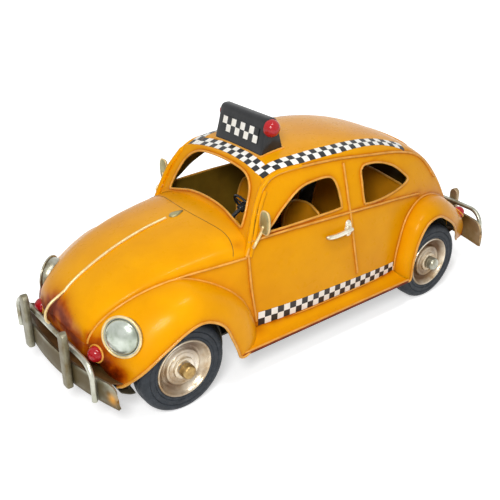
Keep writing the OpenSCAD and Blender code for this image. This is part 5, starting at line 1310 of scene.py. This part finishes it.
def seen_rays(nodes):
    """1 for rays from the camera, from metal and from glass, which all see the pale background."""
    path = nodes.new("LightPath").outputs
    bounced = nodes.plus(path["Is Glossy Ray"], path["Is Transmission Ray"])
    return nodes.plus(path["Is Camera Ray"], bounced)


floor_material = bpy.data.materials.new("studio_white")
floor_material.use_nodes = True
floor_material.node_tree.nodes.clear()
nodes = Nodes(floor_material.node_tree)
diffuse, glow = nodes.new("BsdfDiffuse", Color=(*grey(FLOOR_GREY), 1)), nodes.new("Emission")
added, output, split = nodes.new("AddShader"), nodes.new("OutputMaterial"), nodes.new("SeparateXYZ")
nodes.link(nodes.new("TexCoord").outputs["Object"], split.inputs[0])
off = [nodes.math("SUBTRACT", nodes.math("ABSOLUTE", split.outputs[axis]), half) for axis, half in SHADOW_HALF]
away = nodes.math("SQRT", nodes.plus(*(nodes.times(side, side) for side in off)))
level = nodes.ramp(away, *FLOOR_GLOW)
nodes.link(nodes.times(seen_rays(nodes), level), glow.inputs["Strength"])
nodes.link(diffuse.outputs[0], added.inputs[0])
nodes.link(glow.outputs[0], added.inputs[1])
nodes.link(added.outputs[0], output.inputs["Surface"])
floor_mesh.materials.append(floor_material)

# World: white to the eye, and a dimmer light on the object
WORLD_LIGHT = 0.33
world = bpy.data.worlds.new("studio")
world.use_nodes = True
bpy.context.scene.world = world
nodes = Nodes(world.node_tree)
background = world.node_tree.nodes["Background"].inputs
background["Color"].default_value = (1, 1, 1, 1)
nodes.link(nodes.plus(nodes.times(seen_rays(nodes), 1 - WORLD_LIGHT), WORLD_LIGHT), background["Strength"])


def area_light(name, place, aim, size, power, length=None):
    lamp = bpy.data.lights.new(name, "AREA")
    lamp.shape = "ELLIPSE"
    lamp.size, lamp.size_y = length or size, size
    lamp.energy = power
    obj = bpy.data.objects.new(name, lamp)
    bpy.context.scene.collection.objects.link(obj)
    obj.location = place
    obj.rotation_euler = (Vector(aim) - Vector(place)).to_track_quat("-Z", "Y").to_euler()


# Lamps: place, aim, size, power and length
area_light("key", (0.38, 0.36, 0.41), (0.05, 0.02, 0.05), 0.16, 2.0)
area_light("ridge", (0.05, 0.20, 0.53), (0.075, 0.03, 0.06), 0.045, 0.72, 0.2)
area_light("fill", (-0.40, 0.80, 0.50), (0.0, 0.0, 0.05), 0.6, 0.2)

# Camera: place in metres, turn, rise and roll in degrees, lens and sensor in millimetres
CAMERA_AT, CAMERA_TURN, CAMERA_RISE, CAMERA_ROLL = (0.2825, 0.3344, 0.2655), 141.56, 27.15, 0.42
CAMERA_LENS, CAMERA_SENSOR = 54.02, 36.0
a, e, roll = (math.radians(v) for v in (CAMERA_TURN, CAMERA_RISE, CAMERA_ROLL))
back = Vector((math.sin(a) * math.cos(e), -math.cos(a) * math.cos(e), math.sin(e)))
right = Vector((math.cos(a), math.sin(a), 0))
above = back.cross(right)
right, above = right * math.cos(roll) + above * math.sin(roll), above * math.cos(roll) - right * math.sin(roll)
camera_data = bpy.data.cameras.new("camera")
camera_data.sensor_width = CAMERA_SENSOR
camera_data.lens = CAMERA_LENS
camera_data.clip_start = 0.01
camera = bpy.data.objects.new("camera", camera_data)
bpy.context.scene.collection.objects.link(camera)
camera.matrix_world = Matrix.Translation(CAMERA_AT) @ Matrix((right, above, back)).transposed().to_4x4()
bpy.context.scene.camera = camera
bpy.context.scene.view_settings.view_transform = "Standard"
